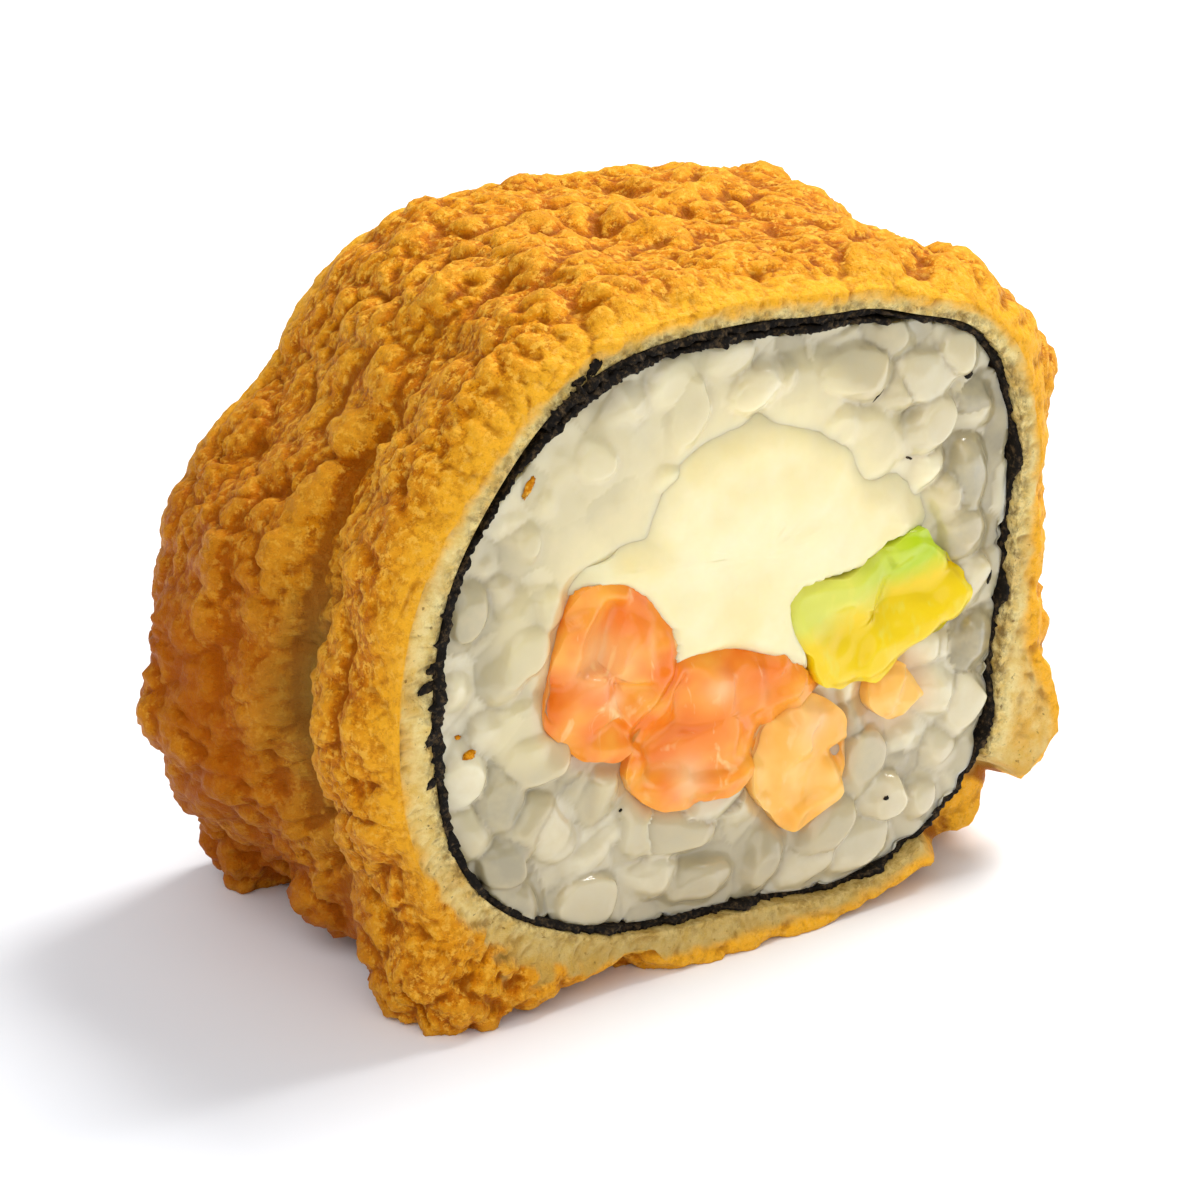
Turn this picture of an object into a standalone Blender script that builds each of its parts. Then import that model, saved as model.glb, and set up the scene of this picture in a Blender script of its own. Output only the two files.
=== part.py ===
"""One cut piece of a fried sushi roll, lying on its side on a flat surface.

The roll's axis runs along Y, and the cut that faces the viewer is at -Y. From the middle outwards it is built
as the cook builds it: a filling of cream cheese, a baton of cucumber and bits of salmon that run from cut to
cut, sushi rice, a sheet of nori wound once round with a lap, and a coat of batter fried to a craggy crust.
Touching pieces keep a gap. Angles are in degrees round the axis, from +X towards +Z, as the cut is seen from
the front. The shapes are worked out from the axis, and an empty then stands the whole piece on the origin.
"""

import math
import random

import bmesh
import bpy
from mathutils import Vector, noise

MM = 0.001

# The whole piece
LENGTH = 27.4 * MM
HALF = LENGTH / 2
AXIS_HEIGHT = 20.2 * MM
GAP = 0.3 * MM

# The wrap is the outside of the nori: a rounded square with pressed corners, slimmer towards the far cut.
# Each row says at which angle, how widely spread and how deep.
WRAP_HALF_WIDTH = 20.0 * MM
WRAP_HALF_HEIGHT = 17.6 * MM
WRAP_POWER = 3.3
WRAP_PRESSED = (
    (143.0, 20.0, 2.3 * MM),
    (226.0, 22.0, 1.3 * MM),
    (72.0, 12.0, 0.5 * MM),
    (53.0, 9.0, 0.7 * MM),
    (5.0, 12.0, 0.5 * MM),
    (342.0, 14.0, 1.1 * MM),
    (312.0, 14.0, -0.6 * MM),
    (293.0, 13.0, -1.0 * MM),
)
WRAP_TAPER = ((142.0, 28.0, 3.3 * MM), (95.0, 25.0, 0.5 * MM))

# The nori sheet starts inside, goes once round and laps over its own start.
NORI_THICKNESS = 0.4 * MM
NORI_LAYER_GAP = 0.12 * MM
NORI_STEP = NORI_THICKNESS + NORI_LAYER_GAP
NORI_START = 58.0
NORI_LAP = 74.0
NORI_END = NORI_START + 360.0 + NORI_LAP
NORI_RAMP = 40.0
NORI_COLUMNS = 130
NORI_RAGGED = 0.22 * MM
NORI_RAGGED_EVERY = 7.0

# The fried coat, and the rim that shows at the cuts. Each row says at which angle, how widely spread and how
# much thicker.
COAT_COLUMNS = 122
COAT_ROWS = 20
ROW_CROWDING = 0.06
COAT_THICKNESS = 2.9 * MM
COAT_THINNEST = 0.9 * MM
COAT_SWOLLEN = (
    (326.0, 13.0, 3.1 * MM),
    (350.0, 18.0, 0.8 * MM),
    (25.0, 20.0, 1.0 * MM),
    (84.0, 42.0, -1.2 * MM),
    (294.0, 13.0, -1.5 * MM),
)
RIM_THICKNESS = 0.9 * MM
RIM_SWOLLEN = (
    (188.0, 34.0, 1.0 * MM),
    (227.0, 11.0, 4.4 * MM),
    (266.0, 22.0, 1.3 * MM),
    (333.0, 9.0, 3.8 * MM),
    (350.0, 18.0, 0.8 * MM),
    (317.0, 6.5, 3.6 * MM),
)
RIM_DENT = 0.16 * MM
FRONT_CURL = 3.6 * MM
BACK_CURL = 6.5 * MM
CURL_FULLNESS = 0.8

# Single features of the coat: the keel it lies on at the lower left, a bit broken off the front rim at the
# lower right, a small arch under the front rim and the spot that is pressed flat
KEEL = {
    "angle": 225.5,
    "spread": 11.5,
    "depth": 4.6 * MM,
    "slack": 0.87,
    "behind": 17.8 * MM,
    "width": 4.4 * MM,
}
BROKEN = {"from": 310.0, "to": 324.5, "soft": 2.5, "sharp": 1.0, "depth": 3.4 * MM}
ARCH = {"angle": 250.0, "spread": 4.5, "width": 2.4 * MM, "depth": 1.4 * MM}
FLAT_SPOT = {"x": -3.0 * MM, "y": 0.0, "spread": 5.0 * MM, "depth": 0.9 * MM}

# Waves of the crust along the roll: a groove behind the front lip, the swollen left flank and the slim far
# shoulder. Each row says at which angle, how widely spread, how far behind the front cut, how wide that way
# and how high.
WAVES = (
    (184.0, 44.0, 9.6 * MM, 2.0 * MM, -2.6 * MM),
    (196.0, 22.0, 20.5 * MM, 6.5 * MM, 3.1 * MM),
    (146.0, 24.0, 22.0 * MM, 8.0 * MM, -1.9 * MM),
)

# The crust's relief: swells and lumps, as size and height, then cobbles with creases between them
LUMPS = ((7.5 * MM, 0.8 * MM), (3.8 * MM, 0.6 * MM))
LUMP_PATTERN = Vector((7.1, 3.3, 1.7))
COBBLE_SIZE = 3.3 * MM
COBBLE_HEIGHT = 1.15 * MM
COBBLE_STEEPNESS = 1.6
COBBLE_MEAN = 0.62
COBBLE_PATTERN = Vector((2.0, 5.0, 9.0))

# The filling: outlines seen on the front cut, in millimetres from the axis, as (x, z)
CUCUMBER = (
    (3.6, 0.9), (8.2, 1.4), (10.4, 2.7), (13.4, 2.2), (15.9, -1.0), (15.2, -3.0), (12.2, -4.2), (7.2, -5.4),
    (4.8, -3.0),
)
SALMON_LEFT = (
    (-10.2, 4.1), (-7.4, 3.8), (-4.9, 0.9), (-4.8, -1.4), (-6.6, -3.6), (-7.6, -5.6), (-9.4, -5.4),
    (-11.9, -3.3), (-11.5, 1.0),
)
SALMON_MIDDLE = (
    (-4.2, -1.4), (-0.2, -1.6), (3.4, -3.3), (5.2, -4.8), (3.6, -5.8), (1.6, -6.4), (0.6, -8.4), (-2.2, -9.6),
    (-6.0, -8.6), (-6.2, -4.8),
)
SALMON_RIGHT = ((3.0, -6.1), (5.4, -6.3), (7.1, -8.2), (6.6, -11.2), (4.0, -12.8), (2.0, -9.6))
SALMON_SMALL = ((10.0, -5.2), (12.2, -5.6), (12.7, -7.4), (11.2, -8.6), (9.5, -7.0))
CREAM_CHEESE = (
    (-9.4, 4.6), (-5.6, 5.6), (-4.0, 8.8), (0.6, 10.6), (5.0, 9.2), (8.6, 6.0), (11.2, 3.6), (8.0, 0.0),
    (4.4, -3.0), (0.0, -1.0), (-4.6, -1.0),
)
OUTLINE_STEPS = 3
STRIP_EDGE = 0.5 * MM
CUTTER_REACH = 2.0 * MM

# Each strip's name, outline and colour, and how far it has wandered, in millimetres, where it reaches the far
# cut. A strip is cut back from those listed before it.
STRIPS = (
    ("cucumber", CUCUMBER, "cucumber", (-0.6, 0.5)),
    ("salmon_left", SALMON_LEFT, "salmon", (0.5, -0.3)),
    ("salmon_middle", SALMON_MIDDLE, "salmon", (0.3, 0.3)),
    ("salmon_right", SALMON_RIGHT, "salmon", (0.4, 0.2)),
    ("salmon_small", SALMON_SMALL, "salmon", (-0.3, 0.4)),
    ("cream_cheese", CREAM_CHEESE, "cream_cheese", (0.2, 0.4)),
)

# The rice: a core set back from both cuts, and the grains that show on it, less proud where the knife smeared
# them
RICE_COLUMNS = 64
RICE_RECESS = 1.9 * MM
RICE_BLEND = 6.0
GRAIN_LENGTH = (4.8 * MM, 6.0 * MM)
GRAIN_WIDTH = (2.8 * MM, 3.3 * MM)
GRAIN_SPACING = 2.6 * MM
GRAIN_TILT = 60.0
GRAIN_SUNK = 0.35 * MM
GRAIN_SIDES = 6
GRAIN_RINGS = 4
GRAINS_A_FACE = 80
GRAIN_TRIES = 14000
SMEARED = {"x": -9.0 * MM, "z": 8.0 * MM, "radius": 5.0 * MM}
SEED = 11

# Base colour and roughness
FINISHES = {
    "coat": ((0.72, 0.30, 0.045), 0.55),
    "nori": ((0.012, 0.014, 0.010), 0.45),
    "rice": ((0.68, 0.66, 0.54), 0.35),
    "cream_cheese": ((0.95, 0.90, 0.70), 0.5),
    "cucumber": ((0.62, 0.68, 0.06), 0.3),
    "salmon": ((0.86, 0.28, 0.08), 0.3),
}


def smooth_step(low, high, value):
    share = min(1.0, max(0.0, (value - low) / (high - low)))
    return share * share * (3 - 2 * share)


def swell(angle, centre, spread):
    """A hump round the axis: 1 at the centre angle, falling off over the spread."""
    apart = (angle - centre + 180.0) % 360.0 - 180.0
    return math.exp(-((apart / spread) ** 2))


def hump(value, centre, width):
    """The same along a line."""
    return math.exp(-(((value - centre) / width) ** 2))


def polar(angle, radius, y):
    return Vector((radius * math.cos(math.radians(angle)), y, radius * math.sin(math.radians(angle))))


def wrap_radius(angle, y):
    """The outside of the nori at this angle and this far along the roll."""
    across = abs(math.cos(math.radians(angle))) / WRAP_HALF_WIDTH
    upright = abs(math.sin(math.radians(angle))) / WRAP_HALF_HEIGHT
    radius = (across**WRAP_POWER + upright**WRAP_POWER) ** (-1 / WRAP_POWER)
    for centre, spread, depth in WRAP_PRESSED:
        radius -= depth * swell(angle, centre, spread)
    behind = (y + HALF) / LENGTH
    for centre, spread, depth in WRAP_TAPER:
        radius -= depth * swell(angle, centre, spread) * behind
    return radius


def nori_depth(turn):
    """How far the outside of the sheet lies inside the wrap, by how far round the sheet has gone."""
    lap_end = NORI_END - 360.0
    return NORI_STEP * (1 - smooth_step(lap_end, lap_end + NORI_RAMP, turn))


def rice_wall(angle, y):
    """The radius that the rice fills, inside the innermost nori layer, with a soft step where that starts."""
    turn = angle % 360.0
    inner_layer = nori_depth(turn) * smooth_step(NORI_START - RICE_BLEND, NORI_START, turn)
    return wrap_radius(angle, y) - inner_layer - NORI_THICKNESS - GAP


def material(name):
    colour, roughness = FINISHES[name]
    made = bpy.data.materials.new(name)
    made.use_nodes = True
    shader = made.node_tree.nodes["Principled BSDF"]
    shader.inputs["Base Color"].default_value = (*colour, 1.0)
    shader.inputs["Roughness"].default_value = roughness
    shader.inputs["Metallic"].default_value = 0.0
    made.diffuse_color = (*colour, 1.0)
    return made


def solid(name, points, faces, finish=None):
    """An object of these points and faces, turned outwards. Without a finish it is a helper, not rendered."""
    mesh = bpy.data.meshes.new(name)
    mesh.from_pydata(points, [], faces)
    shape = bmesh.new()
    shape.from_mesh(mesh)
    bmesh.ops.recalc_face_normals(shape, faces=shape.faces)
    shape.to_mesh(mesh)
    shape.free()
    made = bpy.data.objects.new(name, mesh)
    bpy.context.scene.collection.objects.link(made)
    if finish:
        mesh.materials.append(finish)
        mesh.shade_smooth()
    else:
        made.hide_render = True
        made.display_type = "WIRE"
    return made


def band(first, second, count, closed=True):
    """The faces between two rings of points, by the number of each ring's first point."""
    columns = range(count if closed else count - 1)
    return [(first + column, first + (column + 1) % count, second + (column + 1) % count, second + column)
            for column in columns]


def apply_modifiers(shape):
    graph = bpy.context.evaluated_depsgraph_get()
    finished = bpy.data.meshes.new_from_object(shape.evaluated_get(graph))
    shape.modifiers.clear()
    shape.data = finished


def keep_largest_shell(shape):
    """Drops loose scraps, and fills a sealed hollow by dropping its inner shell."""
    mesh = bmesh.new()
    mesh.from_mesh(shape.data)
    left = set(mesh.verts)
    shells = []
    while left:
        shell = set()
        edge = [left.pop()]
        while edge:
            vertex = edge.pop()
            shell.add(vertex)
            for neighbour in (link.other_vert(vertex) for link in vertex.link_edges):
                if neighbour in left:
                    left.remove(neighbour)
                    edge.append(neighbour)
        shells.append(shell)
    shells.sort(key=len)
    loose = [vertex for shell in shells[:-1] for vertex in shell]
    bmesh.ops.delete(mesh, geom=loose, context="VERTS")
    mesh.to_mesh(shape.data)
    mesh.free()


def relief(point):
    """How far the crust stands out or in at this point."""
    height = 0.0
    for order, (size, amount) in enumerate(LUMPS):
        height += amount * noise.noise(point / size + order * LUMP_PATTERN)
    near, next_near = noise.voronoi(point / COBBLE_SIZE + COBBLE_PATTERN)[0][:2]
    cobble = min(1.0, COBBLE_STEEPNESS * (next_near - near))
    return height + COBBLE_HEIGHT * (cobble - COBBLE_MEAN)


def coat_start(angle):
    """Where the coat starts at the front: at the cut, but further back where a bit has broken off."""
    window = smooth_step(BROKEN["from"] - BROKEN["soft"], BROKEN["from"] + BROKEN["soft"], angle)
    window *= 1 - smooth_step(BROKEN["to"] - BROKEN["sharp"], BROKEN["to"] + BROKEN["sharp"], angle)
    return -HALF + BROKEN["depth"] * window


def full_thickness(angle, y):
    """How thick the coat is, with its waves and relief, away from the cuts."""
    thickness = COAT_THICKNESS
    for centre, spread, more in COAT_SWOLLEN:
        thickness += more * swell(angle, centre, spread)
    behind = y + HALF
    for centre, spread, place, width, height in WAVES:
        thickness += height * swell(angle, centre, spread) * hump(behind, place, width)
    outside = polar(angle, wrap_radius(angle, y) + GAP + thickness, y)
    thickness += relief(outside)
    if outside.z < 0:
        away = math.hypot(outside.x - FLAT_SPOT["x"], outside.y - FLAT_SPOT["y"])
        thickness += FLAT_SPOT["depth"] * hump(away, 0.0, FLAT_SPOT["spread"])
    firm = 1 - KEEL["slack"] * hump(behind, KEEL["behind"], KEEL["width"])
    return thickness + KEEL["depth"] * firm * swell(angle, KEEL["angle"], KEEL["spread"])


def coat_radius(angle, y):
    """The outside of the crust. It curls in to the thinner rim at both cuts, where the knife pinched it."""
    thickness = full_thickness(angle, y)
    rim = RIM_THICKNESS
    for centre, spread, more in RIM_SWOLLEN:
        rim += more * swell(angle, centre, spread)
    rim = min(rim, thickness)
    share = max(0.0, min(1.0, (y - coat_start(angle)) / FRONT_CURL, (HALF - y) / BACK_CURL))
    thickness = rim + (thickness - rim) * math.sin(share * math.pi / 2) ** CURL_FULLNESS
    thickness -= ARCH["depth"] * swell(angle, ARCH["angle"], ARCH["spread"]) * hump(y, -HALF, ARCH["width"])
    return wrap_radius(angle, y) + GAP + max(COAT_THINNEST, thickness)


def on_the_floor(point):
    """The crust is pressed flat where it would reach below what it lies on."""
    return Vector((point.x, point.y, max(point.z, -AXIS_HEIGHT)))


def dented_rim(angle, y, inward):
    """The middle of the cut rim, where crumbs have come away."""
    middle = (wrap_radius(angle, y) + GAP + coat_radius(angle, y)) / 2
    dent = RIM_DENT * (1 + noise.noise(polar(angle, middle, y) / MM))
    return on_the_floor(polar(angle, middle, y + inward * dent))


def make_coat(finish):
    """A tube of rings: out over the crust from the front cut to the back, and home along its inside."""
    angles = [360.0 * column / COAT_COLUMNS for column in range(COAT_COLUMNS)]
    starts = [coat_start(angle) for angle in angles]
    ends = [HALF] * COAT_COLUMNS
    rings = []
    for row in range(COAT_ROWS + 1):
        share = row / COAT_ROWS
        share -= ROW_CROWDING * math.sin(2 * math.pi * share)
        ring = []
        for angle, start in zip(angles, starts):
            y = start + (HALF - start) * share
            ring.append(on_the_floor(polar(angle, coat_radius(angle, y), y)))
        rings.append(ring)
    rings.append([dented_rim(angle, y, -1) for angle, y in zip(angles, ends)])
    rings.append([polar(angle, wrap_radius(angle, y) + GAP, y) for angle, y in zip(angles, ends)])
    rings.append([polar(angle, wrap_radius(angle, y) + GAP, y) for angle, y in zip(angles, starts)])
    rings.append([dented_rim(angle, y, 1) for angle, y in zip(angles, starts)])
    faces = []
    for row in range(len(rings)):
        faces += band(row * COAT_COLUMNS, (row + 1) % len(rings) * COAT_COLUMNS, COAT_COLUMNS)
    return solid("coat", [point for ring in rings for point in ring], faces, finish)


def make_nori(finish):
    """One sheet wound round the rice, its end lapped over its start, with torn edges at the cuts."""
    count = NORI_COLUMNS + 1
    turns = [NORI_START + (NORI_END - NORI_START) * step / NORI_COLUMNS for step in range(count)]
    rings = [[], [], [], []]
    for turn in turns:
        torn_front = NORI_RAGGED * noise.noise(Vector((turn / NORI_RAGGED_EVERY, 0.0, -HALF / MM)))
        torn_back = NORI_RAGGED * noise.noise(Vector((turn / NORI_RAGGED_EVERY, 0.0, HALF / MM)))
        front, back = -HALF + torn_front, HALF + torn_back
        corners = ((front, 0.0), (back, 0.0), (back, NORI_THICKNESS), (front, NORI_THICKNESS))
        for ring, (y, depth) in zip(rings, corners):
            ring.append(polar(turn, wrap_radius(turn, y) - nori_depth(turn) - depth, y))
    faces = []
    for row in range(len(rings)):
        faces += band(row * count, (row + 1) % len(rings) * count, count, closed=False)
    faces.append([row * count for row in range(len(rings))])
    faces.append([row * count + count - 1 for row in range(len(rings))])
    return solid("nori", [point for ring in rings for point in ring], faces, finish)


def smooth_outline(corners):
    """A closed curve through the corners, in metres, with OUTLINE_STEPS points to each."""
    corners = [Vector(corner) * MM for corner in corners]
    count = len(corners)
    curve = []
    for index in range(count):
        before, start, end, after = (corners[(index + step) % count] for step in (-1, 0, 1, 2))
        for step in range(OUTLINE_STEPS):
            t = step / OUTLINE_STEPS
            bend = (2 * before - 5 * start + 4 * end - after) * t**2
            turn = (3 * start - before - 3 * end + after) * t**3
            curve.append((2 * start + (end - before) * t + bend + turn) / 2)
    return curve


def grown_outline(curve, grow):
    """The outline moved outwards by this much, or inwards where it is negative."""
    area = sum(a.x * b.y - b.x * a.y for a, b in zip(curve, curve[1:] + curve[:1]))
    side = 1 if area > 0 else -1
    moved = []
    for index, point in enumerate(curve):
        along = curve[(index + 1) % len(curve)] - curve[index - 1]
        moved.append(point + Vector((along.y, -along.x)).normalized() * grow * side)
    return moved


def wandered(point, drift, y):
    """Where a point of a strip's outline lies this far along the roll."""
    behind = (y + HALF) / LENGTH
    return Vector((point.x + drift[0] * MM * behind, y, point.y + drift[1] * MM * behind))


def prism(name, stations, drift, finish=None):
    """A solid through closed outlines of equally many points, each at its own place along the roll."""
    count = len(stations[0][0])
    points = [wandered(point, drift, y) for outline, y in stations for point in outline]
    faces = [tuple(range(count)), tuple(range(len(points) - count, len(points)))]
    for row in range(len(stations) - 1):
        faces += band(row * count, (row + 1) * count, count)
    return solid(name, points, faces, finish)


def strip(name, corners, drift, finish):
    """A strip of filling from cut to cut, its ends cut flat with soft edges."""
    full = smooth_outline(corners)
    slim = grown_outline(full, -STRIP_EDGE)
    edge = HALF - STRIP_EDGE
    return prism(name, ((slim, -HALF), (full, -edge), (full, edge), (slim, HALF)), drift, finish)


def strip_cutter(name, corners, drift):
    """The same strip with the gap round it, reaching past both cuts."""
    outline = grown_outline(smooth_outline(corners), GAP)
    reach = HALF + CUTTER_REACH
    return prism(name + "_cutter", ((outline, -reach), (outline, reach)), drift)


def cut_back(shape, cutters):
    for cutter in cutters:
        modifier = shape.modifiers.new(cutter.name, "BOOLEAN")
        modifier.operation = "DIFFERENCE"
        modifier.solver = "EXACT"
        modifier.object = cutter


def make_filling(finishes):
    """The strips of the filling, and the cutters that make room for them."""
    made, cutters = [], []
    for name, corners, colour, drift in STRIPS:
        piece = strip(name, corners, drift, finishes[colour])
        cut_back(piece, cutters)
        made.append(piece)
        cutters.append(strip_cutter(name, corners, drift))
    return made, cutters


def distance_to_outline(spot, outline):
    """How far a spot on the cut is outside a closed outline. It is negative inside."""
    nearest = math.inf
    inside = False
    for a, b in zip(outline, outline[1:] + outline[:1]):
        along = b - a
        share = min(1.0, max(0.0, (spot - a).dot(along) / along.length_squared))
        nearest = min(nearest, (spot - a - share * along).length)
        if (a.y > spot.y) != (b.y > spot.y) and spot.x < a.x + (spot.y - a.y) * along.x / along.y:
            inside = not inside
    return -nearest if inside else nearest


def grain_fits(spots, width, y, outlines):
    """Whether a grain that passes these spots of the cut stays clear of the nori and the filling."""
    for spot in spots:
        angle = math.degrees(math.atan2(spot.y, spot.x))
        if spot.length + width / 2 > rice_wall(angle, y):
            return False
        if any(distance_to_outline(spot, outline) < width / 2 + GAP for outline in outlines):
            return False
    return True


def add_grain(collection, centre, pointing, width, length):
    mesh = bpy.data.meshes.new("grain")
    shape = bmesh.new()
    bmesh.ops.create_uvsphere(shape, u_segments=GRAIN_SIDES, v_segments=GRAIN_RINGS, radius=0.5)
    bmesh.ops.scale(shape, vec=(width, width, length), verts=shape.verts)
    shape.to_mesh(mesh)
    shape.free()
    grain = bpy.data.objects.new("grain", mesh)
    grain.location = centre
    grain.rotation_mode = "QUATERNION"
    grain.rotation_quaternion = pointing.to_track_quat("Z", "Y")
    grain.hide_render = True
    collection.objects.link(grain)


def scatter_grains(collection):
    """Grains of rice on both cuts, half sunk in the core, spread by a seeded draw that keeps them apart."""
    draw = random.Random(SEED)
    smear = Vector((SMEARED["x"], SMEARED["z"]))
    for side in (-1, 1):
        y = side * HALF
        outlines = []
        for _, corners, _, drift in STRIPS:
            outline = (wandered(point, drift, y) for point in smooth_outline(corners))
            outlines.append([Vector((point.x, point.z)) for point in outline])
        placed = []
        for _ in range(GRAIN_TRIES):
            if len(placed) == GRAINS_A_FACE:
                break
            spot = Vector((draw.uniform(-1, 1) * WRAP_HALF_WIDTH, draw.uniform(-1, 1) * WRAP_HALF_HEIGHT))
            heading = draw.uniform(0.0, math.pi)
            tilt = math.radians(draw.uniform(0.0, GRAIN_TILT))
            length = draw.uniform(*GRAIN_LENGTH)
            width = draw.uniform(*GRAIN_WIDTH)
            sunk = draw.uniform(0.0, GRAIN_SUNK)
            if any((spot - other).length < GRAIN_SPACING for other in placed):
                continue
            flat = Vector((math.cos(heading), math.sin(heading))) * math.cos(tilt)
            half_run = flat * (length - width) / 2
            if not grain_fits((spot - half_run, spot, spot + half_run), width, y, outlines):
                continue
            if (spot - smear).length < SMEARED["radius"]:
                sunk += GRAIN_SUNK
            reach = width / 2 + (length - width) / 2 * math.sin(tilt)
            centre = Vector((spot.x, side * (HALF - reach - sunk), spot.y))
            pointing = Vector((flat.x, side * math.sin(tilt), flat.y))
            add_grain(collection, centre, pointing, width, length)
            placed.append(spot)


def make_rice(cutters, finish):
    """The rice: a core just behind both cuts, cut out for the filling, its grains fused on in one union."""
    angles = [360.0 * column / RICE_COLUMNS for column in range(RICE_COLUMNS)]
    reach = HALF - RICE_RECESS
    points = [polar(angle, rice_wall(angle, y), y) for y in (-reach, reach) for angle in angles]
    faces = [tuple(range(RICE_COLUMNS)), tuple(range(RICE_COLUMNS, 2 * RICE_COLUMNS))]
    faces += band(0, RICE_COLUMNS, RICE_COLUMNS)
    rice = solid("rice", points, faces, finish)
    cut_back(rice, cutters)
    apply_modifiers(rice)
    grains = bpy.data.collections.new("grains")
    bpy.context.scene.collection.children.link(grains)
    scatter_grains(grains)
    bpy.context.view_layer.update()
    union = rice.modifiers.new("grains", "BOOLEAN")
    union.operation = "UNION"
    union.solver = "EXACT"
    union.operand_type = "COLLECTION"
    union.collection = grains
    apply_modifiers(rice)
    for grain in list(grains.objects):
        bpy.data.objects.remove(grain)
    bpy.data.collections.remove(grains)
    keep_largest_shell(rice)
    rice.data.shade_smooth()
    rice.data.materials.clear()
    rice.data.materials.append(finish)
    return rice


def stand_on_origin(pieces, helpers):
    """Hangs everything on one empty, which puts the middle of the underside at the origin."""
    corners = [vertex.co for piece in pieces for vertex in piece.data.vertices]
    middle_x = (min(corner.x for corner in corners) + max(corner.x for corner in corners)) / 2
    middle_y = (min(corner.y for corner in corners) + max(corner.y for corner in corners)) / 2
    stand = bpy.data.objects.new("stand", None)
    stand.location = (-middle_x, -middle_y, AXIS_HEIGHT)
    bpy.context.scene.collection.objects.link(stand)
    for piece in pieces + helpers:
        piece.parent = stand


def main():
    for thing in list(bpy.data.objects):
        bpy.data.objects.remove(thing)
    finishes = {name: material(name) for name in FINISHES}
    coat = make_coat(finishes["coat"])
    nori = make_nori(finishes["nori"])
    filling, cutters = make_filling(finishes)
    rice = make_rice(cutters, finishes["rice"])
    stand_on_origin([coat, nori, rice] + filling, cutters)


main()
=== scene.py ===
"""The looks of one cut piece of a fried sushi roll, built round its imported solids.

Every piece is modelled in the roll's own frame: X across, Y along the roll's axis from the front cut to the
back, Z up, with the axis at zero. Finished meshes are then moved to where the axis lies above the floor.
Angles are in degrees round the axis, from +X towards +Z, as the cut is seen from the front. Lengths are in
metres, or in millimetres where a comment says so.
"""

from collections import namedtuple
import math

import bpy
import numpy as np
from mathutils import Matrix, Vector, bvhtree, kdtree, noise


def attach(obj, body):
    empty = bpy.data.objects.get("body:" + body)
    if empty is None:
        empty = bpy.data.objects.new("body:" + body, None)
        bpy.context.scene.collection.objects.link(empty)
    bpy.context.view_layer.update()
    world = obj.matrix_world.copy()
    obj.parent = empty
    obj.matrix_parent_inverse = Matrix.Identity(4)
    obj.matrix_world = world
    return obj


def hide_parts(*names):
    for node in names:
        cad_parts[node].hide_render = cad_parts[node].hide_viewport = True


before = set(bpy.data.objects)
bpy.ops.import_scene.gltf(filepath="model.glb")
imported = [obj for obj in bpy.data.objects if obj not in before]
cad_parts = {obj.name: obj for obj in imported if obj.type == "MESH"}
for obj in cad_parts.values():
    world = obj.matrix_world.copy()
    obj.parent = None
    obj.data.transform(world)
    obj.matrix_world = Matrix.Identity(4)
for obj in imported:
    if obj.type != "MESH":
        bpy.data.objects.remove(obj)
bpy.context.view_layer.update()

MM = 0.001
LENGTH = 27.4 * MM
HALF = LENGTH / 2
GAP = 0.3 * MM
AXIS = Vector((0.763, -0.007, 20.2)) * MM
FLOOR = -20.2 * MM
SEED = 5
TINY = 1e-15
noise.seed_set(SEED)

# The wrap and the coat follow the solids' own formulas. A row says at which angle, how widely and how much.
WRAP_HALF_WIDTH = 20.0 * MM
WRAP_HALF_HEIGHT = 17.6 * MM
WRAP_POWER = 3.3
WRAP_PRESSED = (
    (143.0, 20.0, 2.3 * MM), (226.0, 22.0, 1.3 * MM), (72.0, 12.0, 0.5 * MM), (53.0, 9.0, 0.7 * MM),
    (5.0, 12.0, 0.5 * MM), (342.0, 14.0, 1.1 * MM), (312.0, 14.0, -0.6 * MM), (293.0, 13.0, -1.0 * MM),
)
WRAP_TAPER = ((142.0, 28.0, 3.3 * MM), (95.0, 25.0, 0.5 * MM))
NORI_THICKNESS = 0.4 * MM
NORI_STEP = 0.52 * MM
NORI_START = 58.0
NORI_END = 492.0
NORI_LAP_END = 132.0
NORI_RAMP = 40.0
NORI_START_RAMP = 6.0
COAT_THICKNESS = 2.9 * MM
COAT_THINNEST = 0.9 * MM
COAT_SWOLLEN = (
    (326.0, 13.0, 3.1 * MM), (350.0, 18.0, 0.8 * MM), (25.0, 20.0, 1.0 * MM), (84.0, 42.0, -1.2 * MM),
    (294.0, 13.0, -1.5 * MM),
)
RIM_THICKNESS = 0.9 * MM
RIM_SWOLLEN = (
    (188.0, 34.0, 1.0 * MM), (227.0, 11.0, 4.4 * MM), (266.0, 22.0, 1.3 * MM), (333.0, 9.0, 3.8 * MM),
    (350.0, 18.0, 0.8 * MM), (317.0, 6.5, 3.6 * MM),
)
FRONT_CURL = 3.6 * MM
BACK_CURL = 6.5 * MM
CURL_FULLNESS = 0.8
KEEL = {"angle": 225.5, "spread": 11.5, "depth": 4.6 * MM}
KEEL_SLACK = {"share": 0.87, "behind": 17.8 * MM, "width": 4.4 * MM}
BROKEN = {"from": 310.0, "to": 324.5, "soft": 2.5, "sharp": 1.0, "depth": 3.4 * MM}
ARCH = {"angle": 250.0, "spread": 4.5, "width": 2.4 * MM, "depth": 1.4 * MM}
FLAT_SPOT = {"x": -3.0 * MM, "y": 0.0, "spread": 5.0 * MM, "depth": 0.9 * MM}

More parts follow.
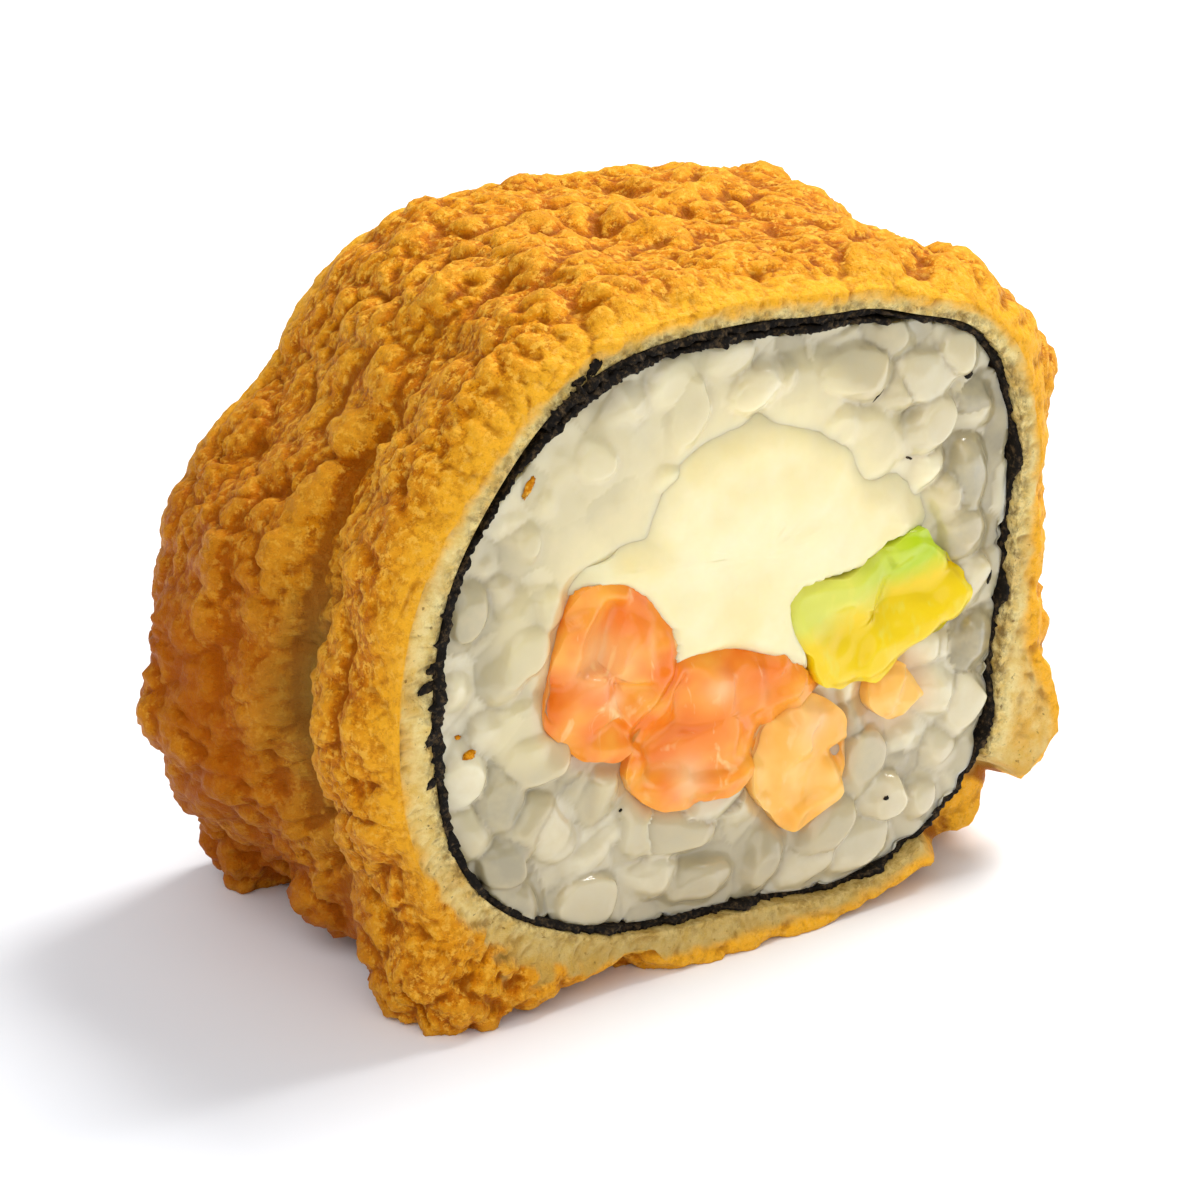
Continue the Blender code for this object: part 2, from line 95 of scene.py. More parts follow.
# Waves along the coat: angle, spread, how far behind the front cut, width and height
WAVES = (
    (184.0, 44.0, 9.6 * MM, 2.0 * MM, -2.6 * MM),
    (196.0, 22.0, 20.5 * MM, 6.5 * MM, 3.1 * MM),
    (146.0, 24.0, 22.0 * MM, 8.0 * MM, -1.9 * MM),
)
LUMPS = ((7.5 * MM, 0.8 * MM), (3.8 * MM, 0.6 * MM))
LUMP_PATTERN = Vector((7.1, 3.3, 1.7))
COBBLE_SIZE = 3.3 * MM
COBBLE_REACH = 0.85
COBBLE_MEAN = 0.5
COBBLE_PATTERN = Vector((2.0, 5.0, 9.0))

# The crust's mesh, which is closest at the angle that shows best and near the cuts
CRUST_COLUMNS = 640
CRUST_FINEST_AT = 182.0
CRUST_FINENESS = 0.34
CRUST_ROWS = 116
CUT_FINENESS = 0.12
RIM_ROWS = 18
BACK_RIM_ROWS = 10
CLOSE = 0.03 * MM
NORMAL_BLUR = 3

# Its fine surface: rounded lumps in three sizes, as size and height, which lie calmer near the cuts, creases
# and grit. Cavities, where the colour paints shade, and ridges, where it paints light, are felt at three
# reaches, in cells of the mesh, each with its weight.
COBBLE_SOFTENED = 0.8 * MM
NUBS = ((3.3 * MM, 0.62 * MM), (1.5 * MM, 0.25 * MM), (0.75 * MM, 0.12 * MM))
NUB_STEEPNESS = 0.35
NUB_FLATNESS = 0.35
NUB_ROUNDNESS = 0.8
ROUGH_PATCH = 6.0 * MM
CREASES = {"size": 4.2 * MM, "width": 0.05, "depth": 0.35 * MM, "patch": 5.0 * MM, "shown": (-0.1, 0.3)}
GRIT = (0.8 * MM, 0.2 * MM)
CALM_NEAR_CUT = (0.2 * MM, 3.0 * MM)
CALMEST = 0.5
KEEL_ROUGHER = ((226.0, 14.0, 1.5),)
WARP_SIZE = 2.8 * MM
WARP = 0.75 * MM
SOFT_WARP = 0.8
CAVITIES = ((2, 1.5), (6, 1.0), (16, 0.5))

# How wide the pale crumb shows round the cut, beyond which the rim is fried crust, and how its edge wanders
CRUMB_WIDTH = 0.65 * MM
CRUMB_WIDER = (
    (0.0, 36.0, 0.6 * MM), (183.0, 30.0, 1.7 * MM), (232.0, 16.0, 1.7 * MM), (262.0, 22.0, 0.9 * MM),
    (331.0, 10.0, 4.0 * MM),
)
CRUMB_WOBBLE = 0.4 * MM
CRUMB_RAGGED = ((224.0, 18.0, 1.5 * MM),)
CRUMB_EDGE_SCALE = (0.35, 0.8 * MM)
CRUMB_FADE = 0.45 * MM
CRUMB_BESIDE_NORI = 0.4 * MM

# The crumb's sponge in millimetres: each layer's size round the rim and outwards, and its height
RIM_ARC = 0.36
STRANDS = (0.6, 1.2, 0.14)
PORES = (0.9, 1.3, 0.2)
PORE_MEAN = 0.45
HOLLOWS = (2.2, 1.6, 0.35)
THREADS = (0.25, 0.6, 0.12)

# What the crust's colours go by: where it is browner, as angle, spread, least, most and from where to where
# along the roll, where it is thin, paler near the cut but not at the keel, sooty with painted shade by the
# nori and toasted
BROWNER = ((200.0, 40.0, 0.2, 1.0, 0.3, 0.55), (222.0, 18.0, 0.0, 0.9, 0.05, 0.3))
THIN_PATCH = {"angle": 187.0, "spread": 17.0, "behind": 9.8 * MM, "width": 2.0 * MM}
NEAR_CUT = (2.6 * MM, 0.1 * MM)
KEEL_NOT_PALE = (226.0, 16.0)
SOOT_AND_SHADE_WIDTH = 1.0 * MM
TOASTED = (0.6 * MM, 2.4 * MM)

# Where the rice laps over the nori's edge, as angle, spread and reach, and the notches where black shows
OVERHANG = ((5.0, 45.0, 0.75 * MM), (285.0, 50.0, 0.9 * MM))
NOTCHES = ((17.0, 4.0), (353.0, 2.5), (330.0, 4.5), (272.0, 3.0), (300.0, 2.5), (242.0, 2.0))

# The nori's mesh, and its torn and frayed edge in millimetres. Tears have a fineness and a height, and
# fraying has a fineness, a pattern and a height. In places the edge has tufts or teeth, or is thinner.
NORI_COLUMNS = 1500
NORI_PLACES = (-1.0, -0.97, -0.93, 0.0, 0.93, 0.97, 1.0)
NORI_EDGE = (0.85, 1.0)
TEAR_SCALE = (0.5, 3.0, 0.8)
TEARS = ((0.4, 0.3), (1.0, 0.3), (2.7, 0.25))
TEAR_PROUD = 0.1
TUFTS = ((124.0, 9.0, 0.35), (176.0, 20.0, 0.2), (148.0, 13.0, -0.35))
FRAY_SLOW = (0.09, 4.0, 0.2)
FRAY_QUICK = (0.4, 9.0, 0.14)
FRAY_TEETH = (0.9, 2.0, 0.6)
FRAY_LAYERS = 5.0
TOOTH_START = 0.05
TEETH_LEAST = 0.3
TEETH = ((178.0, 20.0, 1.6), (124.0, 7.0, 3.0))
THINNER = ((0.0, 55.0, 0.09), (182.0, 18.0, -0.1), (148.0, 14.0, 0.14))

# Outlines of the filling's strips on the front cut, in millimetres from the axis
CUCUMBER = (
    (3.6, 0.9), (8.2, 1.4), (10.4, 2.7), (13.4, 2.2), (15.9, -1.0), (15.2, -3.0), (12.2, -4.2), (7.2, -5.4),
    (4.8, -3.0),
)
SALMON_LEFT = (
    (-10.2, 4.1), (-7.4, 3.8), (-4.9, 0.9), (-4.8, -1.4), (-6.6, -3.6), (-7.6, -5.6), (-9.4, -5.4),
    (-11.9, -3.3), (-11.5, 1.0),
)
SALMON_MIDDLE = (
    (-4.2, -1.4), (-0.2, -1.6), (3.4, -3.3), (5.2, -4.8), (3.6, -5.8), (1.6, -6.4), (0.6, -8.4), (-2.2, -9.6),
    (-6.0, -8.6), (-6.2, -4.8),
)
SALMON_RIGHT = ((3.0, -6.1), (5.4, -6.3), (7.1, -8.2), (6.6, -11.2), (4.0, -12.8), (2.0, -9.6))
SALMON_SMALL = ((10.0, -5.2), (12.2, -5.6), (12.7, -7.4), (11.2, -8.6), (9.5, -7.0))
CREAM_CHEESE = (
    (-9.4, 4.6), (-5.6, 5.6), (-4.0, 8.8), (0.6, 10.6), (5.0, 9.2), (8.6, 6.0), (11.2, 3.6), (8.0, 0.0),
    (4.4, -3.0), (0.0, -1.0), (-4.6, -1.0),
)

# The uneven ends in millimetres: the size, slope and softness of their facets, finer noise as size and
# height, and how proud they lie
Relief = namedtuple("Relief", "size slope softness ripples lift")
CHEESE_RELIEF = Relief(3.2, 0.25, 0.14, ((4.5, 0.35), (2.0, 0.175), (0.8, 0.05)), 0.15)
SALMON_RELIEF = Relief(2.8, 1.0, 0.07, ((1.1, 0.1), (0.5, 0.03), (3.0, 0.35)), 0.05)
CUCUMBER_RELIEF = Relief(3.8, 0.8, 0.09, ((0.9, 0.08), (3.5, 0.25)), 0.2)
FACET_PATTERN = 3.7

# The strips by their node in millimetres, each in front of those after it. Drift is how far one has wandered
# at the far cut, and middle is where its ends start. They grow past the outline and drop over a bevel.
Strip = namedtuple("Strip", "outline drift middle relief grows drops bevel", defaults=(0.15, 0.35, 0.5))
STRIPS = {
    "cucumber": Strip(CUCUMBER, (-0.6, 0.5), (9.6, -1.4), CUCUMBER_RELIEF),
    "salmon_left": Strip(SALMON_LEFT, (0.5, -0.3), (-8.6, -0.8), SALMON_RELIEF, 0.5),
    "salmon_middle": Strip(SALMON_MIDDLE, (0.3, 0.3), (-1.4, -4.9), SALMON_RELIEF, 0.7),
    "salmon_right": Strip(SALMON_RIGHT, (0.4, 0.2), (4.6, -9.3), SALMON_RELIEF, 0.8),
    "salmon_small": Strip(SALMON_SMALL, (-0.3, 0.4), (11.1, -6.8), SALMON_RELIEF),
    "cream_cheese": Strip(CREAM_CHEESE, (0.2, 0.4), (1.0, 4.0), CHEESE_RELIEF, 2.6, 1.2, 0.6),
}
SALMON_PALE = (
    ((-9.3, 0.2), 1.7), ((-1.7, -3.2), 0.8), ((-3.6, -8.2), 1.2), ((5.0, -7.0), 1.2), ((-8.4, -2.4), 0.6),
)
SALMON_DEEP = (
    ((-4.6, -1.6), 1.2), ((1.2, -3.2), 2.2), ((-2.7, -5.6), 1.8), ((-9.8, -4.0), 1.1), ((-7.0, 2.0), 1.2),
)
OUTLINE_STEPS = 18
CLEARANCE_STEPS = 6
CAP_RINGS = 26
CAP_SHARES = (0.006, 0.97)
WALL_DEPTHS = (0.15 * MM, 0.45 * MM, 1.0 * MM, 2.5 * MM)
STRIP_WOBBLE = ((1.9, 0.5), (0.8, 0.16))
WOBBLE_APART = 5 * MM
RELIEF_APART = 20 * MM
ROUNDED_DEPTH = 1.0 * MM
TUCKED = 1.2 * MM
TUCK_EDGE = (-0.35 * MM, 0.25 * MM)
MOST_PROUD = 0.6 * MM
EDGE_RANGE = (-8.0, 5.0)
SPOTS_AT_ONCE = 20000

# The rice: grains at true size on both cuts, cut off by planes that lean a little and softened by creases
GRAIN_RINGS = 10
GRAIN_SIDES = 14
GRAIN_PLUMPNESS = 0.85
GRAIN_LENGTH = (4.8 * MM, 6.6 * MM)
GRAIN_WIDTH = (3.0 * MM, 3.8 * MM)
GRAIN_BOW = 0.06
BOW_MIDDLE = 0.3
GRAIN_SPACING = 2.6 * MM
GRAIN_PROUD = (-0.4 * MM, 0.7 * MM)
GRAIN_LUMPS = (1.7 * MM, 0.35 * MM)
GRAIN_TILT = 60.0
GRAIN_SWING = 25.0
GRAIN_LAYERS = (0.0, 1.1 * MM)
GRAIN_TRIES = 12000
CLEAR_OF_NORI = 0.25
CLEAR_OF_FILLING = 0.2
NEAREST_TRIED = 7
GRAIN_CREASE = 0.07 * MM
CREASE_WIDTH = 0.35 * MM
CREASE_NOTCH = 0.3 * MM
GRAIN_REACH = (0.1, 1.3)
GRAIN_PLANES = (-0.4 * MM, 0.3 * MM)
GRAIN_SLOPE = 0.28
SMEAR_FLATTENS = 0.8
CUT_ROUNDING = (0.6 * MM, 0.2 * MM)
CUT_WAVES = (1.1 * MM, 0.05 * MM)
LAPS_OVER = (-0.6 * MM, -0.2 * MM)

# How the rice slopes down towards the cheese and the fish: by how much, and from how far away to where
SLOPING = (-1.5 * MM, -0.3 * MM)
CHEESE_SLOPE = (0.25 * MM, 3.0 * MM, -1.0 * MM)
SALMON_SLOPE = (0.4 * MM, 1.8 * MM, 0.3 * MM)
STAIN_WIDTH = 2.0 * MM

# The clearest grains of the front cut in millimetres: (x, z), length, width, heading, how proud they stand
CLEAR_GRAINS = (
    ((-4.2, -11.4), 6.8, 4.0, -15.0, 0.5), ((-13.2, -4.9), 4.8, 3.1, -12.0, 0.6),
    ((-13.6, -8.8), 5.0, 4.0, 50.0, 0.1), ((-9.9, -14.3), 4.4, 3.3, -12.0, 0.6),
    ((-2.4, -15.2), 4.8, 2.8, 0.0, 0.3), ((2.2, -15.0), 4.4, 3.2, 75.0, 0.2),
    ((6.6, -14.4), 5.0, 3.4, 40.0, 0.4), ((13.3, 9.0), 4.0, 3.2, 30.0, 0.6),
    ((7.8, 13.0), 6.6, 3.4, -10.0, 0.3), ((-14.9, -13.0), 5.2, 3.2, -60.0, 0.2),
    ((16.2, 5.4), 5.0, 3.0, 95.0, 0.3), ((-6.6, -10.8), 4.4, 3.0, 80.0, 0.0),
)

# The bed behind the grains, and where the knife smeared the rice smooth, as (x, z) and reach in millimetres
RICE_DEPTH = 7.0 * MM
RICE_VOXEL = 0.21 * MM
RICE_SOFTENING = (0.5, 2)
DEEPEST = 5
BED_COLUMNS = 160
BED_RINGS = 46
BED_MIDDLE = 0.02
BED_RECESS = 0.9 * MM
BED_SMEARED_RECESS = 0.3 * MM
BED_WALL = (0.9, 1.0)
BED_WALL_SHARE = (0.25, 0.5)
BED_HOLLOW = 2.0 * MM
BED_HOLLOW_EDGE = (-1.0 * MM, -0.4 * MM)
BED_WAVES = (1.8 * MM, 0.25 * MM)
BED_SMEARED_CALM = 0.5
CORE_COLUMNS = 64
CORE_OVERLAP = 0.4 * MM
SMEARS = (
    ((-9.0, 8.5), 6.0), ((-3.0, 12.5), 4.0), ((4.5, 12.0), 3.0), ((-12.5, 2.5), 3.5), ((9.0, 8.5), 2.6),
    ((-14.0, -3.0), 2.2),
)
SMEAR_EDGE = (0.6, 1.25)

# Specks and crumbs that lie on the front cut in millimetres, as x, z, length, width and how they point
DARK_SPECKS = (
    (15.8, 11.5, 0.5, 0.42, 20.0), (10.4, -13.1, 0.36, 0.3, 0.0), (9.3, 11.6, 0.9, 0.1, 40.0),
    (-0.6, 11.4, 0.7, 0.12, -60.0), (12.0, 7.2, 1.2, 0.16, -30.0), (17.6, -1.0, 0.8, 0.3, 80.0),
    (-7.5, -9.5, 0.22, 0.18, 30.0), (-19.2, 3.5, 1.8, 1.1, 75.0), (-20.1, 1.3, 1.4, 0.6, 20.0),
    (-18.7, 5.4, 1.2, 0.6, 60.0), (-9.7, 16.9, 1.0, 0.7, 50.0), (-10.7, 16.4, 0.8, 0.5, 10.0),
    (-20.3, -1.5, 1.0, 0.6, 60.0), (-20.3, -4.2, 0.8, 0.5, 30.0), (-19.8, 2.2, 0.9, 0.6, 0.0),
)
CRUMBS = ((-17.6, -3.4, 0.8, 0.6, 20.0), (-13.6, 11.0, 1.2, 0.5, 60.0), (-17.9, -2.5, 0.4, 0.3, 0.0))
SPECK_FLATNESS = 0.5
SPECK_ROUGHNESS = 0.3
IN_FRONT = -30 * MM

# Colours in sRGB
COLOURS = {
    "deep gold": (198, 108, 0), "gold": (230, 148, 12), "bright gold": (240, 164, 26),
    "orange": (200, 106, 0), "pale gold": (254, 186, 46), "brown fleck": (160, 78, 0),
    "light fleck": (250, 188, 70), "painted crevice shade": (150, 74, 0), "painted ridge light": (250, 182, 50),
    "darker brown": (166, 79, 0), "thin batter": (138, 106, 44),
    "crumb": (244, 222, 154), "dull crumb": (228, 194, 110), "crumb patch": (206, 156, 62),
    "toast": (232, 172, 58), "pore": (150, 102, 38), "burnt speck": (104, 68, 28), "soot_and_shade": (106, 80, 42),
    "low crumb shade": (178, 142, 66), "seaweed": (20, 15, 10), "worn seaweed": (92, 74, 50),
    "dull grain": (150, 141, 112), "grain": (200, 188, 152), "bright grain": (236, 227, 196),
    "straw": (210, 192, 146), "smeared rice": (218, 204, 158), "rice crease shade": (166, 150, 112),
    "recessed rice shade": (150, 134, 98), "stained rice": (250, 200, 140), "low rice shade": (178, 164, 132),
    "creamy rice": (246, 230, 176), "cheese": (243, 225, 164), "pale cheese": (247, 233, 186),
    "bright cheese": (252, 241, 200), "deep salmon": (238, 116, 0), "salmon": (250, 174, 58),
    "peach": (248, 174, 58), "pale peach": (252, 200, 108), "marbling": (250, 198, 136),
    "streak": (252, 206, 138), "cucumber": (216, 216, 86), "green": (182, 204, 4), "ripe": (238, 204, 0),
    "pale streak": (230, 222, 96), "floor": (244, 247, 252), "bright floor": (247, 249, 253),
}
SOCKETS = (
    "Roughness", "Specular IOR Level", "Subsurface Weight", "Subsurface Radius", "Subsurface Scale",
    "Coat Weight", "Coat Roughness",
)
NOT_SOFT = (0.0, (1.0, 0.2, 0.1), 0.05)
NO_COAT = (0.0, 0.03)
CREAMY_EDGE = (-4.0, 0.6)
CREAMY_WOBBLE = 1.6

# The camera looks at the cut from the left and from above, as in the photograph.
CAMERA_AZIMUTH = 34.0
CAMERA_ELEVATION = 22.5
CAMERA_DISTANCE = 230.0 * MM
CAMERA_AIM = Vector((-0.154, 0.0, -3.065)) * MM
CAMERA_FIELD = 69.6 * MM
CAMERA_SENSOR = 36.0
CAMERA_NEAREST = 0.01

# The stage: each light's direction, size, power and colour, all as far from the same point
LIGHTS = {
    "key": ((0.7, 0.1, 1.0), 0.2, 1.95, (1.0, 0.985, 0.96)),
    "front_fill": ((-0.3, -1.0, 0.6), 0.35, 0.4, (1.0, 1.0, 1.0)),
    "left_fill": ((-0.8, -0.3, 1.0), 0.3, 0.5, (1.0, 1.0, 1.0)),
}
LIGHT_DISTANCE = 0.4
LIT_POINT = Vector((0, 0, 0.02))
SKY_COLOUR = (0.96, 0.98, 1.0, 1.0)
SKY_STRENGTH = 0.42
FLOOR_HALF = 1.2


def smooth_step(low, high, value):
    """0 up to low and 1 from high on, with a smooth rise between them."""
    share = np.clip((value - low) / (high - low), 0.0, 1.0)
    return share * share * (3 - 2 * share)


def hump(value, centre, width):
    """1 at the centre, falling off over the width."""
    return np.exp(-(((value - centre) / width) ** 2))


def swell(angle, centre, spread):
    """The same round the axis."""
    return hump((angle - centre + 180.0) % 360.0 - 180.0, 0.0, spread)


def swells(angle, rows, start=0.0, scale=1):
    """Several of these added to a start, each given as its angle, its spread and its height."""
    total = start
    for centre, spread, height in rows:
        total = total + scale * height * swell(angle, centre, spread)
    return total


def polar(angle, radius, y):
    """Points at these angles, radii and places along the roll, in an array whose last axis is x, y, z."""
    turn = np.radians(angle)
    return np.stack(np.broadcast_arrays(radius * np.cos(turn), y, radius * np.sin(turn)), axis=-1)


def at_points(height, points):
    """A height for each point of an array, from a function of one point."""
    flat = [height(Vector(point)) for point in points.reshape(-1, points.shape[-1])]
    return np.array(flat).reshape(points.shape[:-1])


def wrap_radius(angle, y):
    """The outside of the nori at this angle and this far along the roll."""
    across = np.abs(np.cos(np.radians(angle))) / WRAP_HALF_WIDTH
    upright = np.abs(np.sin(np.radians(angle))) / WRAP_HALF_HEIGHT
    radius = (across**WRAP_POWER + upright**WRAP_POWER) ** (-1 / WRAP_POWER)
    pressed = swells(angle, WRAP_PRESSED, radius, -1)
    return swells(angle, WRAP_TAPER, pressed, -(y + HALF) / LENGTH)


def nori_depth(turn):
    """How far the outside of the sheet lies inside the wrap, by how far round the sheet has gone."""
    return NORI_STEP * (1 - smooth_step(NORI_LAP_END, NORI_LAP_END + NORI_RAMP, turn))


def rice_wall(angle, y):
    """The radius that the rice fills."""
    turn = angle % 360.0
    inner_layer = nori_depth(turn) * smooth_step(NORI_START - NORI_START_RAMP, NORI_START, turn)
    return wrap_radius(angle, y) - inner_layer - NORI_THICKNESS


def coat_start(angle):
    """Where the coat starts at the front: at the cut, but further back where a bit has broken off."""
    window = smooth_step(BROKEN["from"] - BROKEN["soft"], BROKEN["from"] + BROKEN["soft"], angle)
    window = window * (1 - smooth_step(BROKEN["to"] - BROKEN["sharp"], BROKEN["to"] + BROKEN["sharp"], angle))
    return -HALF + BROKEN["depth"] * window


def full_thickness(angle, y):
    """How thick the coat is, with its waves and relief, away from the cuts."""
    thickness = swells(angle, COAT_SWOLLEN, COAT_THICKNESS)
    behind = y + HALF
    for centre, spread, place, width, height in WAVES:
        thickness = thickness + height * swell(angle, centre, spread) * hump(behind, place, width)
    outside = polar(angle, wrap_radius(angle, y) + GAP + thickness, y)
    thickness = thickness + at_points(soft_relief, outside)
    away = np.hypot(outside[..., 0] - FLAT_SPOT["x"], outside[..., 1] - FLAT_SPOT["y"])
    flat = FLAT_SPOT["depth"] * hump(away, 0.0, FLAT_SPOT["spread"])
    thickness = thickness + np.where(outside[..., 2] < 0, flat, 0.0)
    firm = 1 - KEEL_SLACK["share"] * hump(behind, KEEL_SLACK["behind"], KEEL_SLACK["width"])
    return thickness + KEEL["depth"] * firm * swell(angle, KEEL["angle"], KEEL["spread"])


def coat_radius(angle, y):
    """The outside of the crust. It curls in to the thinner rim at both cuts, where the knife pinched it."""
    thickness = full_thickness(angle, y)
    rim = np.minimum(swells(angle, RIM_SWOLLEN, RIM_THICKNESS), thickness)
    share = np.minimum((y - coat_start(angle)) / FRONT_CURL, (HALF - y) / BACK_CURL)
    share = np.clip(share, 0.0, 1.0)
    thickness = rim + (thickness - rim) * np.sin(share * np.pi / 2) ** CURL_FULLNESS
    arch = ARCH["depth"] * swell(angle, ARCH["angle"], ARCH["spread"]) * hump(y, -HALF, ARCH["width"])
    return wrap_radius(angle, y) + GAP + np.maximum(COAT_THINNEST, thickness - arch)


# Shared mesh work


def piece(name, points, faces, material, values=(), node=None):
    """A shown piece that rides on the root body. Points are in the roll's frame, and values are what the
    material reads at each point."""
    mesh = bpy.data.meshes.new(name)
    mesh.from_pydata((np.asarray(points) + np.array(AXIS)).tolist(), [], faces)
    for key, numbers in dict(values).items():
        attribute = mesh.attributes.new(key, "FLOAT", "POINT")
        attribute.data.foreach_set("value", np.asarray(numbers, np.float32).ravel())
    mesh.materials.append(material)
    mesh.shade_smooth()
    made = bpy.data.objects.new(name, mesh)
    bpy.context.scene.collection.objects.link(made)
    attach(made, "root")
    if node:
        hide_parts(node)
    return made


def grid_faces(rows, columns, closed_rows=False, closed_columns=True):
    """Quads over a grid of points. Columns run round, and close on themselves where asked."""
    faces = []
    for row in range(rows if closed_rows else rows - 1):
        first = row * columns
        second = (row + 1) % rows * columns
        for column in range(columns if closed_columns else columns - 1):
            beside = (column + 1) % columns
            faces.append((first + column, first + beside, second + beside, second + column))
    return faces


def blurred(grid, reach):
    """A grid of points or values, averaged over a square of cells."""
    total = grid
    for _ in range(reach):
        total = (np.roll(total, 1, axis=1) + total + np.roll(total, -1, axis=1)) / 3
        padded = np.concatenate([total[:1], total, total[-1:]])
        total = (padded[:-2] + padded[1:-1] + padded[2:]) / 3
    return total


def hollowness(grid, normals, reach):
    """How deep each point lies below its surroundings. It is negative on a bump."""
    return ((blurred(grid, reach) - grid) * normals).sum(axis=2)


def rounded(near):
    """Rounded lumps by how far away their middle is, 1 at their tops and 0 in the creases between them."""
    return 1 - min(1.0, (near / COBBLE_REACH) ** 2)


def ripples(point, rows):
    """Noise in several sizes, each given with its height in millimetres."""
    return sum(height * noise.noise(point / (size * MM)) for size, height in rows)


# The crust


def soft_relief(point):
    """The solid's large lumps, rounded over."""
    height = 0.0
    for order, (size, amount) in enumerate(LUMPS):
        height += amount * noise.noise(point / size + order * LUMP_PATTERN)
    place = point + noise.noise_vector(point / WARP_SIZE) * WARP * SOFT_WARP
    near = noise.voronoi(place / COBBLE_SIZE + COBBLE_PATTERN)[0][0]
    return height + COBBLE_SOFTENED * (rounded(near) - COBBLE_MEAN)


def nub_height(point):
    """The crust's fine surface: lumps on lumps, rougher in some places, with a few long creases and grit."""
    place = point + noise.noise_vector(point / WARP_SIZE) * WARP
    rough = 1 + noise.noise(point / ROUGH_PATCH + LUMP_PATTERN)
    height = 0.0
    for order, (size, amount) in enumerate(NUBS):
        near, next_near = noise.voronoi(place / size + order * COBBLE_PATTERN)[0][:2]
        flat_topped = min(1.0, (next_near - near) / NUB_STEEPNESS)
        height += amount * rough * (NUB_FLATNESS * flat_topped + NUB_ROUNDNESS * rounded(near) - COBBLE_MEAN)
    line = noise.noise(place / CREASES["size"] + 5 * LUMP_PATTERN)
    patch = noise.noise(point / CREASES["patch"] + 7 * LUMP_PATTERN)
    crease = CREASES["depth"] * smooth_step(*CREASES["shown"], patch) * hump(line, 0.0, CREASES["width"])
    size, amount = GRIT
    grit = noise.noise(point / size + LUMP_PATTERN) + 0.5 * noise.noise(point / size * 2 + LUMP_PATTERN)
    return height + amount * grit - crease


def crumb_height(angle, distance):
    """The torn, spongy surface of the crumb at the cut, by the angle and how far out of the nori it lies."""
    arc = angle * RIM_ARC
    out = distance / MM

    def spot(layer, pattern, twist=0.0):
        return Vector((arc / layer[0] + twist, out / layer[1], pattern))

    strand = noise.noise(spot(STRANDS, 0.0))
    pore = noise.voronoi(spot(PORES, 3.0, strand))[0][0] - PORE_MEAN
    slow = noise.noise(spot(HOLLOWS, 7.0))
    fine = noise.noise(spot(THREADS, 5.0))
    return (STRANDS[2] * strand + PORES[2] * pore + HOLLOWS[2] * slow + THREADS[2] * fine) * MM


def crumb_wobble(spot):
    """How the crumb's outer edge wanders, by the angle and how far out of the nori it lies."""
    fineness, size = CRUMB_EDGE_SCALE
    return noise.noise(Vector((spot[0] * fineness, spot[1] / size, 9.0)))


def crust_angles():
    """The angles of the crust's columns, closest together where the crust shows best."""
    turn = np.arange(CRUST_COLUMNS) / CRUST_COLUMNS
    lean = np.sin(2 * np.pi * (turn - CRUST_FINEST_AT / 360)) * CRUST_FINENESS / (2 * np.pi)
    return (360.0 * (turn - lean))[None]


def crust_grid(angles, starts):
    """The smooth coat as a grid of points over the front rim, from cut to cut and over the back rim, with how
    far out of the nori each point lies, and 1 for the points on a rim."""
    rim = (np.arange(RIM_ROWS) / RIM_ROWS)[:, None]
    back_rim = (np.arange(BACK_RIM_ROWS) / BACK_RIM_ROWS)[::-1, None]
    along = np.arange(CRUST_ROWS + 1)[:, None] / CRUST_ROWS
    along = along - CUT_FINENESS * np.sin(2 * np.pi * along)
    y = starts + (HALF - starts) * along
    outer = coat_radius(np.broadcast_to(angles, y.shape), y)
    front, back = (wrap_radius(angles, place) + CLOSE for place in (starts, HALF))
    parts = (
        (front + (outer[:1] - front) * rim, starts, front, 1.0),
        (outer, y, front, 0.0),
        (back + (outer[-1:] - back) * back_rim, HALF, back, 1.0),
    )
    grid = np.concatenate([polar(angles, radii, place) for radii, place, _, _ in parts])
    distance = np.concatenate([radii - nori for radii, _, nori, _ in parts])
    on_rim = np.concatenate([np.full(radii.shape, share) for radii, _, _, share in parts])
    return grid, distance, on_rim


def crust_normals(grid):
    """Normals of the smooth coat that point outwards, rounded over its edges."""
    along = np.roll(grid, -1, axis=1) - np.roll(grid, 1, axis=1)
    normals = np.cross(along, np.gradient(grid, axis=0))
    normals = normals / np.linalg.norm(normals, axis=2, keepdims=True)
    middle = len(grid) // 2
    if (normals[middle] * grid[middle]).sum() < 0:
        normals = -normals
    normals = blurred(normals, NORMAL_BLUR)
    return normals / np.linalg.norm(normals, axis=2, keepdims=True)


